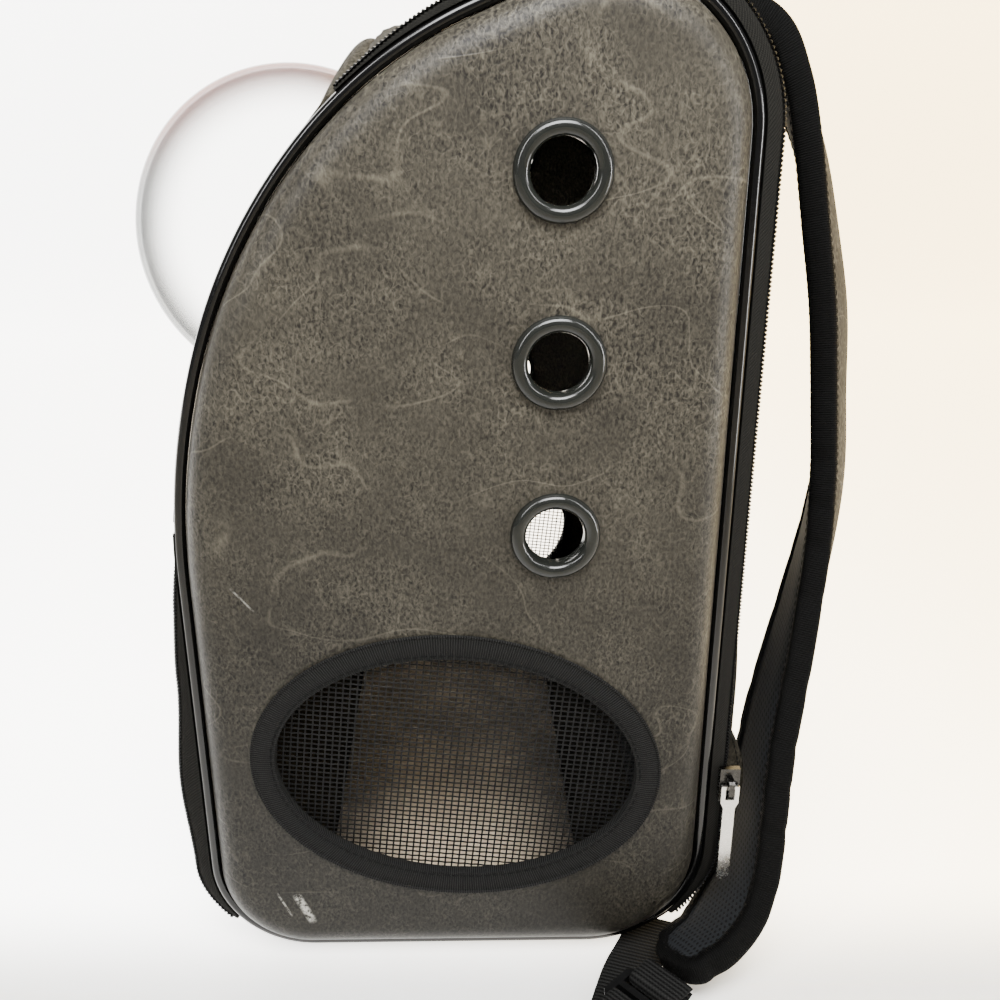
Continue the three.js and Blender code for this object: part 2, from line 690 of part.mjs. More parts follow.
// Rounded end of a strap as a fan of directions past the last section.
function strapTipRows(sections) {
  const last = sections[sections.length - 1];
  return Array.from({ length: strapTipSteps }, (_, index) => {
    const turn = ((index + 1) / (strapTipSteps + 1)) * Math.PI;
    const way = last.across.clone().multiplyScalar(Math.cos(turn)).addScaledVector(last.down, Math.sin(turn));
    const point = last.middle.clone().addScaledVector(last.across, Math.cos(turn) * last.half);
    point.addScaledVector(last.down, Math.sin(turn) * strapTip);
    return { point, way, face: last.face };
  });
}

function strapPad(side) {
  const sections = strapSections(side);
  const last = sections[sections.length - 1];
  const inset = bindingWall + gap * 3;
  const tip = [0.55, 0.85].map((share) => ({
    ...last,
    middle: last.middle.clone().addScaledVector(last.down, (strapTip - inset - 1) * share),
    half: (last.half - inset) * Math.sqrt(1 - share * share) * 0.84 + inset,
  }));
  const core = strapThick / 2 - bindingWall - gap * 1.8;
  return strapLayer(side, [...sections, ...tip], (half) => {
    const reach = half - inset;
    const fold = Math.max(half - bindingLap, reach * 0.4);
    const lower = [[-reach, -core], [-fold, -core], [fold, -core], [reach, -core]];
    return [...lower, [reach, core], [fold, core], [-fold, core], [-reach, core]];
  });
}

// Leather skin on the outward face of the strap, between its two bound edges.
function strapFace(side) {
  const sections = strapSections(side).slice(faceFirstRow);
  const low = strapThick / 2 - bindingWall;
  const high = low + faceWall;
  return strapLayer(side, sections, (half) => {
    const reach = half - bindingLap - gap;
    return [[reach, low], [-reach, low], [-reach, high], [0, high + faceCrown], [reach, high]];
  });
}

// Binding tape folded over the edge, down one side, round the end and up the other.
function strapBinding(side) {
  const sections = strapSections(side);
  const rail = (sign) => sections.map(({ middle, across, face, half }) => ({
    point: middle.clone().addScaledVector(across, half * sign),
    way: across.clone().multiplyScalar(sign),
    face,
  }));
  const path = [...rail(1), ...strapTipRows(sections), ...rail(-1).reverse()];
  const skin = strapThick / 2;
  const core = skin - bindingWall;
  const section = [
    [0, -skin], [0, skin], [-bindingLap, skin], [-bindingLap, core],
    [-bindingWall, core], [-bindingWall, -core], [-bindingLap, -core], [-bindingLap, -skin],
  ];
  const rings = path.map(({ point, way, face }) => section
    .map(([out, deep]) => point.clone().addScaledVector(way, out).addScaledVector(face, deep))
    .map((corner) => flipX(side, corner)));
  return loft(rings, section.map(([out, deep]) => new THREE.Vector2(out, deep)));
}

// Flat ribbon through rows that give its middle and the direction across it.
function ribbon(side, rows, wide, thick) {
  const middles = rows.map((row) => new THREE.Vector3(row.x, row.y, row.z));
  const rings = rows.map((row, index) => {
    const before = middles[Math.max(index - 1, 0)];
    const after = middles[Math.min(index + 1, rows.length - 1)];
    const run = after.clone().sub(before).normalize();
    const across = new THREE.Vector3(Math.cos(toRad(row.across)), Math.sin(toRad(row.across)), 0);
    const face = new THREE.Vector3().crossVectors(run, across).normalize();
    return [[-1, -1], [1, -1], [1, 1], [-1, 1]]
      .map(([a, b]) => middles[index].clone().addScaledVector(across, (a * wide) / 2).addScaledVector(face, (b * thick) / 2))
      .map((point) => flipX(side, point));
  });
  const end = [[0, 0], [1, 0], [1, 1], [0, 1]].map(([a, b]) => new THREE.Vector2(a, b));
  return loft(rings, end);
}

// Ladder lock: a frame with two slots, lying flat at the end of the strap.
function ladderLock(side) {
  const half = { along: lock.along / 2, wide: lock.wide / 2 };
  const frame = new THREE.Shape();
  frame.moveTo(-half.along + lock.corner, -half.wide).lineTo(half.along - lock.corner, -half.wide);
  frame.lineTo(half.along, -half.wide + lock.corner).lineTo(half.along, half.wide - lock.corner);
  frame.lineTo(half.along - lock.corner, half.wide).lineTo(-half.along + lock.corner, half.wide);
  frame.lineTo(-half.along, half.wide - lock.corner).lineTo(-half.along, -half.wide + lock.corner);
  const slotWide = webbing.wide / 2 + 0.8;
  const slots = [[-half.along + lock.bar, -lock.bar / 2], [lock.bar / 2, half.along - lock.bar]];
  const holes = slots.map(([from, to]) => new THREE.BoxGeometry(to - from, slotWide * 2, lock.thick * 3)
    .translate((from + to) / 2, 0, 0));
  const block = new THREE.ExtrudeGeometry(frame, { depth: lock.thick, bevelEnabled: false });
  const geometry = cut(block.translate(0, 0, -lock.thick / 2), holes);
  geometry.rotateZ(toRad(lock.heading)).translate(lock.x, lock.y, lock.z);
  return mirrored(geometry, side);
}

const carrier = new THREE.Group();

function add(name, geometry, finish, spot) {
  const mesh = new THREE.Mesh(geometry, new THREE.MeshStandardMaterial(finishes[finish]));
  mesh.name = name;
  if (spot) mesh.position.copy(spot);
  carrier.add(mesh);
}

add('front_panel', frontPanel(), 'leather');
add('back_panel', backPanel(), 'cloth');
add('base_panel', basePanel(), 'leather');
add('floor_pad', floorMat(), 'pad');
add('bubble_dome', dome(), 'clear');
add('bubble_ring', bubbleRing(), 'leather');

for (const [name, side] of [['right', 1], ['left', -1]]) {
  add(`side_panel_${name}`, sidePanel(side), 'leather');
  add(`piping_${name}`, piping(side), 'piping');
  add(`zip_main_${name}`, zip(side, places.mainZipStart, places.backEnd), 'cloth');
  add(`zip_front_${name}`, zip(side, places.frontStart + seam, places.frontZipEnd), 'cloth');
  eyeletZ.forEach((z, index) => add(`eyelet_${name}_${index + 1}`, eyelet(side, z), 'eyelet'));
  add(`mesh_window_${name}`, meshWindow(side), 'cloth');
  add(`window_binding_${name}`, windowBinding(side), 'cloth');
  const perch = new THREE.Vector3(side * slider.x, slider.y, slider.z);
  add(`zip_slider_${name}`, zipSlider(side), 'metal', perch);
  const hook = new THREE.Vector3(side * (slider.x + slider.thick + 1.6), slider.y, slider.z);
  add(`zip_pull_${name}`, zipPull(side), 'metal', hook);
  add(`strap_pad_${name}`, strapPad(side), 'cloth');
  add(`strap_face_${name}`, strapFace(side), 'leather');
  add(`strap_binding_${name}`, strapBinding(side), 'cloth');
  add(`corner_tab_${name}`, cornerTab(side), 'leather');
  add(`webbing_${name}`, ribbon(side, webbingRows, webbing.wide, webbing.thick), 'cloth');
  add(`ladder_lock_${name}`, ladderLock(side), 'piping');
  add(`strap_tab_${name}`, ribbon(side, tabRows, webbing.wide, webbing.thick), 'cloth');
}

export default carrier;
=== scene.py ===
"""Looks of a pet carrier backpack with a clear bubble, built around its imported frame.

Sizes are millimetres in the row frame: +Z is up, the bubble faces -Y, the wearer's back
is at +Y and +X is the wearer's right. Meshes are made in metres.
"""

import logging
import math
from abc import ABC, abstractmethod
from dataclasses import dataclass, field
from enum import Enum
from typing import Any, Sequence

import bmesh
import bpy
import numpy as np
from mathutils import Matrix, Quaternion, Vector
from mathutils.geometry import delaunay_2d_cdt


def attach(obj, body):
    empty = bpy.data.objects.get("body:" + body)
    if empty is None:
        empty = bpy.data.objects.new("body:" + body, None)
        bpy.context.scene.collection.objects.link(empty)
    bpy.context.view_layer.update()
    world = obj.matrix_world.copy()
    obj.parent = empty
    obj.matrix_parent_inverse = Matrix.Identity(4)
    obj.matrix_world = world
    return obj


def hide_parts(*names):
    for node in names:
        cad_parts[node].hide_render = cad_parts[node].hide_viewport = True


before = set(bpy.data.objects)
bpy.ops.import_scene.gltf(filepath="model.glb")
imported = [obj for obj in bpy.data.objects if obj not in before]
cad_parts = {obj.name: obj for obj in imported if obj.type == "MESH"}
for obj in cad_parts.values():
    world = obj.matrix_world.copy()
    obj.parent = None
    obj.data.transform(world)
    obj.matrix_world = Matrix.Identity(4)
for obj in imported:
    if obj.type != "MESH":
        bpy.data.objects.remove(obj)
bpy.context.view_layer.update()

LOG = logging.getLogger("carrier")
MM = 0.001
TAU = math.tau
SHARP = math.radians(42)
SOLID_SHARP = math.radians(35)
BUBBLE_CENTRE = (0.0, -76.5, 328.5)
BUBBLE_AXIS = (0.0, -0.9135, 0.4067)
BUBBLE_SEAT = -6.0

Colour = tuple[float, float, float, float]


class Side(Enum):
    """The wearer's side that a piece is on."""

    RIGHT = 1
    LEFT = -1

    @property
    def label(self) -> str:
        """Word for this side in the names of the pieces."""
        return self.name.lower()


def smoothstep(value: np.ndarray, low: float, high: float) -> np.ndarray:
    """Smooth share from 0 below the low end to 1 above the high end.

    Args:
        value: Numbers to place between the two ends.
        low: Where the share is still 0.
        high: Where the share reaches 1.

    Returns:
        The share of each number.
    """
    share = np.clip((np.asarray(value, float) - low) / (high - low), 0.0, 1.0)
    return share * share * (3 - 2 * share)


def unit(vectors: np.ndarray) -> np.ndarray:
    """Vectors along the last axis, each with length 1."""
    return vectors / np.linalg.norm(vectors, axis=-1, keepdims=True)


def smooth_line(rows: np.ndarray, steps: int) -> np.ndarray:
    """Smooth line that passes through every row.

    Args:
        rows: Points, one row each, with any number of columns.
        steps: Points made for each span between two rows.

    Returns:
        Rows of the line, the given ones among them.
    """
    ends = np.vstack([2 * rows[0] - rows[1], rows, 2 * rows[-1] - rows[-2]])
    share = np.linspace(0, 1, steps, endpoint=False)[:, None]
    spans = []
    for first, second, third, fourth in zip(ends, ends[1:], ends[2:], ends[3:]):
        bend = 2 * first - 5 * second + 4 * third - fourth
        twist = 3 * second - first - 3 * third + fourth
        line = 2 * second + (third - first) * share + bend * share**2 + twist * share**3
        spans.append(line / 2)
    return np.vstack([*spans, rows[-1:]])


def lengths(points: np.ndarray) -> np.ndarray:
    """Distance walked along a line of points up to each of them."""
    steps = np.linalg.norm(np.diff(points, axis=0), axis=1)
    return np.concatenate([[0.0], np.cumsum(steps)])


@dataclass(frozen=True)
class Run:
    """One straight or round run of the side panel's edge.

    A run without a radius is straight. A length of 0 is worked out to close the edge.
    """

    name: str
    length: float = 0.0
    radius: float = 0.0
    turn: float = 0.0


@dataclass(frozen=True)
class ClothMark:
    """How far the cloth stands outside the panel's edge at one place of a run."""

    run: str
    part: float
    out: float


@dataclass
class Outline:
    """Edge of a side panel, walked up the front, over the top and down the back."""

    front: float = -110.0
    floor: float = 6.0
    runs: Sequence[Run] = (
        Run("front wall", length=149.4),
        Run("front shoulder", radius=300, turn=20),
        Run("bubble slope", radius=215, turn=22),
        Run("front crown", radius=170, turn=26),
        Run("top", length=27),
        Run("back crown", radius=55, turn=112),
        Run("back wall"),
        Run("back foot", radius=50, turn=90),
        Run("floor"),
        Run("front foot", radius=42, turn=90),
    )
    cloth_marks: Sequence[ClothMark] = (
        ClothMark("front wall", 0, 12.5),
        ClothMark("front wall", 0.31, 15),
        ClothMark("front wall", 0.67, 11),
        ClothMark("front wall", 1, 8),
        ClothMark("front shoulder", 0.22, 7),
        ClothMark("front shoulder", 0.45, 5.2),
        ClothMark("bubble slope", 0.5, 5),
        ClothMark("front crown", 0, 5.8),
        ClothMark("front crown", 0.3, 7.4),
        ClothMark("front crown", 1, 9.4),
        ClothMark("back crown", 0, 10.3),
        ClothMark("back crown", 0.5, 12),
        ClothMark("back wall", 0, 12.4),
        ClothMark("back wall", 1, 12.4),
        ClothMark("back foot", 0.5, 9.8),
        ClothMark("floor", 0, 6),
        ClothMark("floor", 1, 6),
        ClothMark("front foot", 0.5, 8.8),
    )
    swell_from: tuple[float, float] = (60.0, 105.0)
    swell_to: tuple[float, float] = (130.0, 225.0)
    starts: dict[str, float] = field(default_factory=dict)
    spans: dict[str, float] = field(default_factory=dict)

    def __post_init__(self) -> None:
        """Walks the runs once and keeps where each one starts and where the seams lie."""
        place = np.array([self.front, self.floor + self.runs[-1].radius])
        heading = 0.0
        start = 0.0
        rows = []
        radii = {run.name: run.radius for run in self.runs}
        for run in self.runs:
            length = run.radius * math.radians(run.turn) or run.length
            if run.name == "back wall":
                length = place[1] - self.floor - radii["back foot"]
            if run.name == "floor":
                length = place[0] - self.front - self.runs[-1].radius
            rows.append((start, place[0], place[1], heading, run.radius))
            self.starts[run.name] = start
            self.spans[run.name] = length
            self.table = np.array(rows).T
            self.perimeter = start + length + 1.0
            y, z, way = self.spots(np.array([start + length]))
            place = np.array([y[0], z[0]])
            heading = way[0]
            start += length
        self.perimeter = start
        marks = [(self.place(mark.run, mark.part), mark.out) for mark in self.cloth_marks]
        self.cloth_table = np.array([*marks, (start, marks[0][1])]).T
        self.front_start = self.place("front foot", 0.55) - self.perimeter
        self.front_zip_end = self.place("front shoulder", 0.2)
        self.main_zip_start = self.place("front crown", 0.28)
        self.back_seam = self.place("back crown", 0.5)
        self.back_end = self.place("back foot", 0.48)

    def place(self, run: str, part: float) -> float:
        """Distance along the edge of a place on one run."""
        return self.starts[run] + self.spans[run] * part

    def spots(self, distances: np.ndarray) -> tuple[np.ndarray, np.ndarray, np.ndarray]:
        """Points of the edge and the way it heads there.

        Args:
            distances: Distances along the edge.

        Returns:
            The y, the z and the heading of each point; a heading of 0 is straight up.
        """
        around = np.mod(distances, self.perimeter)
        start, y, z, heading, radius = self.table
        index = np.searchsorted(start, around + 1e-9, side="right") - 1
        way = around - start[index]
        from_y, from_z, turn, bend = y[index], z[index], heading[index], radius[index]
        curved = bend > 0
        safe = np.where(curved, bend, 1.0)
        new_turn = np.where(curved, turn + way / safe, turn)
        round_y = from_y + (np.cos(turn) - np.cos(new_turn)) * safe
        round_z = from_z + (np.sin(new_turn) - np.sin(turn)) * safe
        straight_y = from_y + np.sin(turn) * way
        straight_z = from_z + np.cos(turn) * way
        return np.where(curved, round_y, straight_y), np.where(curved, round_z, straight_z), new_turn

    def points(self, distances: np.ndarray, out: Any, x: Any) -> np.ndarray:
        """Points moved outwards from the edge.

        Args:
            distances: Distances along the edge.
            out: How far outside the edge each point stands.
            x: How far to the side each point stands.

        Returns:
            Rows of x, y and z.
        """
        y, z, heading = self.spots(distances)
        level = np.broadcast_to(np.asarray(x, float), y.shape)
        return np.stack([level, y - np.cos(heading) * out, z + np.sin(heading) * out], axis=-1)

    def low_swell(self, distances: np.ndarray) -> np.ndarray:
        """Share by which the lower back swells.

        Args:
            distances: Distances along the edge.

        Returns:
            A share from 0 to 1 for each of them.
        """
        y, z, _ = self.spots(distances)
        low, high = self.swell_to
        return smoothstep(-z, -high, -low) * smoothstep(z, *self.swell_from) * (y > 0)

    def cloth(self, distances: np.ndarray) -> np.ndarray:
        """How far the cloth stands outside the edge.

        Args:
            distances: Distances along the edge.

        Returns:
            The cloth's height at each of them.
        """
        around = np.mod(distances, self.perimeter)
        at, out = self.cloth_table
        index = np.clip(np.searchsorted(at, around, side="right") - 1, 0, len(at) - 2)
        share = np.clip((around - at[index]) / (at[index + 1] - at[index]), 0, 1)
        return out[index] + (out[index + 1] - out[index]) * share * share * (3 - 2 * share)


def steps_between(start: float, end: float, pitch: float) -> np.ndarray:
    """Evenly spaced numbers about one pitch apart, both ends among them."""
    return np.linspace(start, end, max(2, round((end - start) / pitch) + 1))


def mesh_object(
    name: str, points: np.ndarray, faces: Sequence[Sequence[int]], uv: np.ndarray | None = None
) -> bpy.types.Object:
    """New object with smooth shading and outward faces.

    Args:
        name: Name of the piece.
        points: Corners in millimetres.
        faces: Corner numbers of each face.
        uv: Distance along and across in millimetres for each corner of each face, if any.

    Returns:
        The object, linked to the scene.
    """
    mesh = bpy.data.meshes.new(name)
    mesh.from_pydata((np.asarray(points) * MM).tolist(), [], [list(map(int, face)) for face in faces])
    if uv is not None:
        layer = mesh.uv_layers.new(name="weave")
        layer.data.foreach_set("uv", (np.asarray(uv, np.float32) * MM).ravel())
    work = bmesh.new()
    work.from_mesh(mesh)
    bmesh.ops.recalc_face_normals(work, faces=work.faces)
    work.to_mesh(mesh)
    work.free()
    mesh.shade_smooth()
    mesh.set_sharp_from_angle(angle=SHARP)
    obj = bpy.data.objects.new(name, mesh)
    bpy.context.scene.collection.objects.link(obj)
    return obj


def band_faces(bands: int, corners: int, count: int) -> tuple[np.ndarray, np.ndarray, np.ndarray]:
    """Four-cornered faces between neighbouring rings.

    Args:
        bands: How many bands of faces there are.
        corners: Corners of each ring.
        count: How many rings there are.

    Returns:
        The faces, and the ring and the place round it of each of their corners.
    """
    here, corner = np.meshgrid(np.arange(bands), np.arange(corners), indexing="ij")
    ring = np.stack([here, here, here + 1, here + 1], axis=-1).reshape(-1, 4)
    place = np.stack([corner, corner + 1, corner + 1, corner], axis=-1).reshape(-1, 4)
    return (ring % count) * corners + place % corners, ring, place


def loft(
    name: str,
    rings: np.ndarray,
    along: np.ndarray,
    across: np.ndarray,
    loop: bool = False,
    caps: bool = False,
) -> bpy.types.Object:
    """Skin over a row of closed rings.

    Args:
        name: Name of the piece.
        rings: Corners as rings by corners by x, y and z.
        along: Distance at each ring, with one more where the rings join up.
        across: Distance round each ring, with one more than its corners.
        loop: Whether the last ring joins the first.
        caps: Whether the two end rings are closed.

    Returns:
        The object.
    """
    count, corners = rings.shape[:2]
    bands = count if loop else count - 1
    quads, ring, place = band_faces(bands, corners, count)
    faces = quads.tolist()
    uv = np.stack([np.asarray(along)[ring], np.asarray(across)[place]], axis=-1).reshape(-1, 2)
    if caps:
        half = corners // 2
        for first in (0, (count - 1) * corners):
            last = first + corners - 1
            for step in range(half - 1):
                faces.append([first + step, first + step + 1, last - step - 1, last - step])
        uv = np.vstack([uv, np.zeros((8 * (half - 1), 2))])
    return mesh_object(name, rings.reshape(-1, 3), faces, uv)


def tube_rings(line: np.ndarray, side: np.ndarray, up: np.ndarray, radius: Any, corners: int) -> np.ndarray:
    """Rings of a round tube along a line.

    Args:
        line: Points of its middle.
        side: First direction across the line at each point.
        up: Second direction across the line at each point.
        radius: Radius, one for all or one for each point.
        corners: Corners of each ring.

    Returns:
        Corners as rings by corners by x, y and z.
    """
    turn = np.arange(corners) * TAU / corners
    reach = np.broadcast_to(np.asarray(radius, float), len(line))[:, None, None]
    wave = side[:, None] * np.cos(turn)[:, None] + up[:, None] * np.sin(turn)[:, None]
    return line[:, None] + wave * reach


def many(
    name: str, shape: np.ndarray, faces: np.ndarray, places: np.ndarray, axes: np.ndarray
) -> bpy.types.Object:
    """One mesh of many copies of a small shape.

    Args:
        name: Name of the piece.
        shape: Corners of the small shape.
        faces: Corner numbers of its faces.
        places: Where each copy goes.
        axes: The three directions of each copy, as rows.

    Returns:
        The object.
    """
    points = (shape[None] @ axes + places[:, None]).reshape(-1, 3)
    shift = np.arange(len(places))[:, None, None] * len(shape)
    return mesh_object(name, points, (faces[None] + shift).reshape(-1, faces.shape[1]))


def stitches(
    name: str, line: np.ndarray, out: np.ndarray, long: float, pitch: float, radius: float
) -> bpy.types.Object:
    """Row of thread stitches along a line.

    Args:
        name: Name of the piece.
        line: Points that the row follows, close together.
        out: Outward direction at each point.
        long: Length of a stitch.
        pitch: From one stitch to the next.
        radius: Radius of the thread.

    Returns:
        The object.
    """
    walked = lengths(line)
    middles = np.arange(pitch, walked[-1] - pitch / 2, pitch)

    def sample(values: np.ndarray, at: np.ndarray) -> np.ndarray:
        """Values along the line at the distances given."""
        return np.stack([np.interp(at, walked, values[:, column]) for column in range(3)], axis=-1)

    ahead = unit(sample(line, middles + 0.5) - sample(line, middles - 0.5))
    lift = sample(out, middles)
    lift = unit(lift - ahead * np.sum(lift * ahead, axis=1, keepdims=True))
    axes = np.stack([ahead, np.cross(lift, ahead), lift], axis=1)
    reach = np.array([-1, -0.8, 0, 0.8, 1]) * long / 2
    thick = np.array([0.35, 0.9, 1, 0.9, 0.35]) * radius
    lift_rows = np.array([-0.9, -0.1, 0.5, -0.1, -0.9]) * radius
    sides = 6
    turn = np.arange(sides) * TAU / sides
    rings = [
        np.stack([np.full(sides, x), np.cos(turn) * size, np.sin(turn) * size + rise], axis=-1)
        for x, size, rise in zip(reach, thick, lift_rows)
    ]
    faces = band_faces(len(rings) - 1, sides, len(rings))[0]
    return many(name, np.vstack(rings), faces, sample(line, middles), axes)


def shade(colour: Colour, share: float) -> Colour:
    """Darker or lighter colour of the same hue."""
    return tuple(part * share for part in colour[:3]) + (1.0,)


def tint(red: float, green: float, blue: float) -> Colour:
    """Screen colour as the light that a shader works with.

    Args:
        red: Red, from 0 to 255.
        green: Green, from 0 to 255.
        blue: Blue, from 0 to 255.

    Returns:
        The colour, with each part from 0 to 1.
    """
    shares = [channel / 255 for channel in (red, green, blue)]
    light = [c / 12.92 if c <= 0.04045 else ((c + 0.055) / 1.055) ** 2.4 for c in shares]
    return light[0], light[1], light[2], 1.0


class Value:
    """A shader socket that takes part in sums like a number."""

    def __init__(self, graph: "Graph", socket: bpy.types.NodeSocket) -> None:
        """Wraps one output of a node of the graph."""
        self.graph = graph
        self.socket = socket

    def math(self, operation: str, first: Any, second: Any = 0.0, clamp: bool = False) -> "Value":
        """Math node on two values or numbers.

        Args:
            operation: The node's operation.
            first: Its first value.
            second: Its second value.
            clamp: Whether the result is kept from 0 to 1.

        Returns:
            The result.
        """
        settings = {"operation": operation, "use_clamp": clamp}
        return self.graph.node("ShaderNodeMath", settings, {0: first, 1: second})

    def __add__(self, other: Any) -> "Value":
        """Sum."""
        return self.math("ADD", self, other)

    def __radd__(self, other: Any) -> "Value":
        """Sum with a number in front."""
        return self.math("ADD", other, self)

    def __sub__(self, other: Any) -> "Value":
        """Difference."""
        return self.math("SUBTRACT", self, other)

    def __rsub__(self, other: Any) -> "Value":
        """Difference from a number in front."""
        return self.math("SUBTRACT", other, self)

    def __mul__(self, other: Any) -> "Value":
        """Product."""
        return self.math("MULTIPLY", self, other)

    def __rmul__(self, other: Any) -> "Value":
        """Product with a number in front."""
        return self.math("MULTIPLY", other, self)

    def __truediv__(self, other: Any) -> "Value":
        """Quotient."""
        return self.math("DIVIDE", self, other)

    def clamp(self) -> "Value":
        """This value kept from 0 to 1."""
        return self.math("ADD", self, 0.0, clamp=True)

    def size(self) -> "Value":
        """This value without its sign."""
        return self.math("ABSOLUTE", self)

    def cosine(self) -> "Value":
        """Cosine of this value."""
        return self.math("COSINE", self)

    def rise(self, low: float, high: float) -> "Value":
        """Smooth share from 0 at the low end to 1 at the high end."""
        settings = {"interpolation_type": "SMOOTHSTEP"}
        return self.graph.node("ShaderNodeMapRange", settings, {0: self, 1: low, 2: high, 3: 0.0, 4: 1.0})


class Graph:
    """Node tree of one material, with its main shader."""

    def __init__(self, name: str) -> None:
        """Makes the material with a main shader and nothing else.

        Args:
            name: Name of the material.
        """
        self.material = bpy.data.materials.new(name)
        self.material.use_nodes = True
        self.tree = self.material.node_tree
        self.tree.nodes.clear()
        output = self.tree.nodes.new("ShaderNodeOutputMaterial")
        self.shader = self.tree.nodes.new("ShaderNodeBsdfPrincipled")
        self.tree.links.new(self.shader.outputs[0], output.inputs["Surface"])

    def node(self, kind: str, settings: dict[str, Any], sockets: dict[Any, Any], out: Any = 0) -> Value:
        """New node.

        Args:
            kind: The node's type.
            settings: Its settings, which are set first.
            sockets: Values or links for its sockets, by name or number.
            out: Name or number of the output wanted.

        Returns:
            That output.
        """
        made = self.tree.nodes.new(kind)
        for name, setting in settings.items():
            setattr(made, name, setting)
        for name, value in sockets.items():
            self.plug(made.inputs[name], value)
        return Value(self, made.outputs[out])

    def plug(self, socket: bpy.types.NodeSocket, value: Any) -> None:
        """Links a value to a socket, or sets a plain number or colour on it."""
        if isinstance(value, Value):
            self.tree.links.new(value.socket, socket)
        else:
            socket.default_value = value

    def feed(self, **sockets: Any) -> None:
        """Sets or links sockets of the main shader, with _ for each space in a name."""
        for name, value in sockets.items():
            self.plug(self.shader.inputs[name.replace("_", " ")], value)

    def place(self) -> Value:
        """Place on the object, in metres."""
        return self.node("ShaderNodeTexCoord", {}, {}, "Object")

    def weave(self) -> tuple[Value, Value]:
        """Distance along and across a piece, in metres."""
        spot = self.node("ShaderNodeUVMap", {"uv_map": "weave"}, {})
        parts = self.node("ShaderNodeSeparateXYZ", {}, {0: spot})
        return parts, Value(self, parts.socket.node.outputs[1])

    def noise(
        self, at: Value, scale: float, detail: float = 2.0, rough: float = 0.5, distort: float = 0.0
    ) -> Value:
        """Cloudy pattern.

        Args:
            at: Place on the object, in metres.
            scale: How many clouds a metre holds.
            detail: How many times finer clouds are added.
            rough: Weight of the finer clouds.
            distort: How far the clouds are pulled out of shape.

        Returns:
            The pattern.
        """
        sockets = {"Vector": at, "Scale": scale, "Detail": detail, "Roughness": rough, "Distortion": distort}
        return self.node("ShaderNodeTexNoise", {}, sockets, "Fac")

    def lines(self, at: Value, scale: float, wide: float, distort: float) -> Value:
        """Thin wavy lines where a cloudy pattern crosses its middle.

        Args:
            at: Place on the object, in metres.
            scale: How many clouds a metre holds.
            wide: Half the width of a line, as a share of the pattern's height.
            distort: How far the lines are pulled out of shape.

        Returns:
            The pattern, 1 in the middle of a line and 0 beside it.
        """
        cloud = self.noise(at, scale, 1.0, 0.5, distort)
        return 1 - (cloud - 0.5).size().rise(0.0, wide)

    def scaled(self, at: Value, shares: tuple[float, float, float]) -> Value:
        """Place with each of its three parts multiplied."""
        return self.node("ShaderNodeVectorMath", {"operation": "MULTIPLY"}, {0: at, 1: shares})

    def blend(self, share: Any, low: Any, high: Any) -> Value:
        """Colour between two colours."""
        settings = {"data_type": "RGBA"}
        return self.node("ShaderNodeMix", settings, {0: share, 6: low, 7: high}, 2)

    def bump(self, height: Value, strength: float, depth: float) -> None:
        """Feeds the shader's normal with a relief.

        Args:
            height: The relief.
            strength: How strongly it shows, up to 1.
            depth: Height of a relief of 1, in millimetres.
        """
        sockets = {"Strength": strength, "Distance": depth * MM, "Height": height}
        self.feed(Normal=self.node("ShaderNodeBump", {}, sockets))


@dataclass(frozen=True)
class Finish(ABC):
    """A finish that is painted once and shared by its pieces."""

    name: str

    @abstractmethod
    def paint(self, graph: Graph) -> None:
        """Builds the nodes of this finish."""

    def material(self) -> bpy.types.Material:
        """The material of this finish, made at its first use."""
        known = bpy.data.materials.get(self.name)
        if known:
            return known
        graph = Graph(self.name)
        self.paint(graph)
        return graph.material


@dataclass(frozen=True)
class Scratch:
    """A scratch or scuff on a side panel, from one point to another."""

    from_y: float
    from_z: float
    to_y: float
    to_z: float
    wide: float
    weight: float


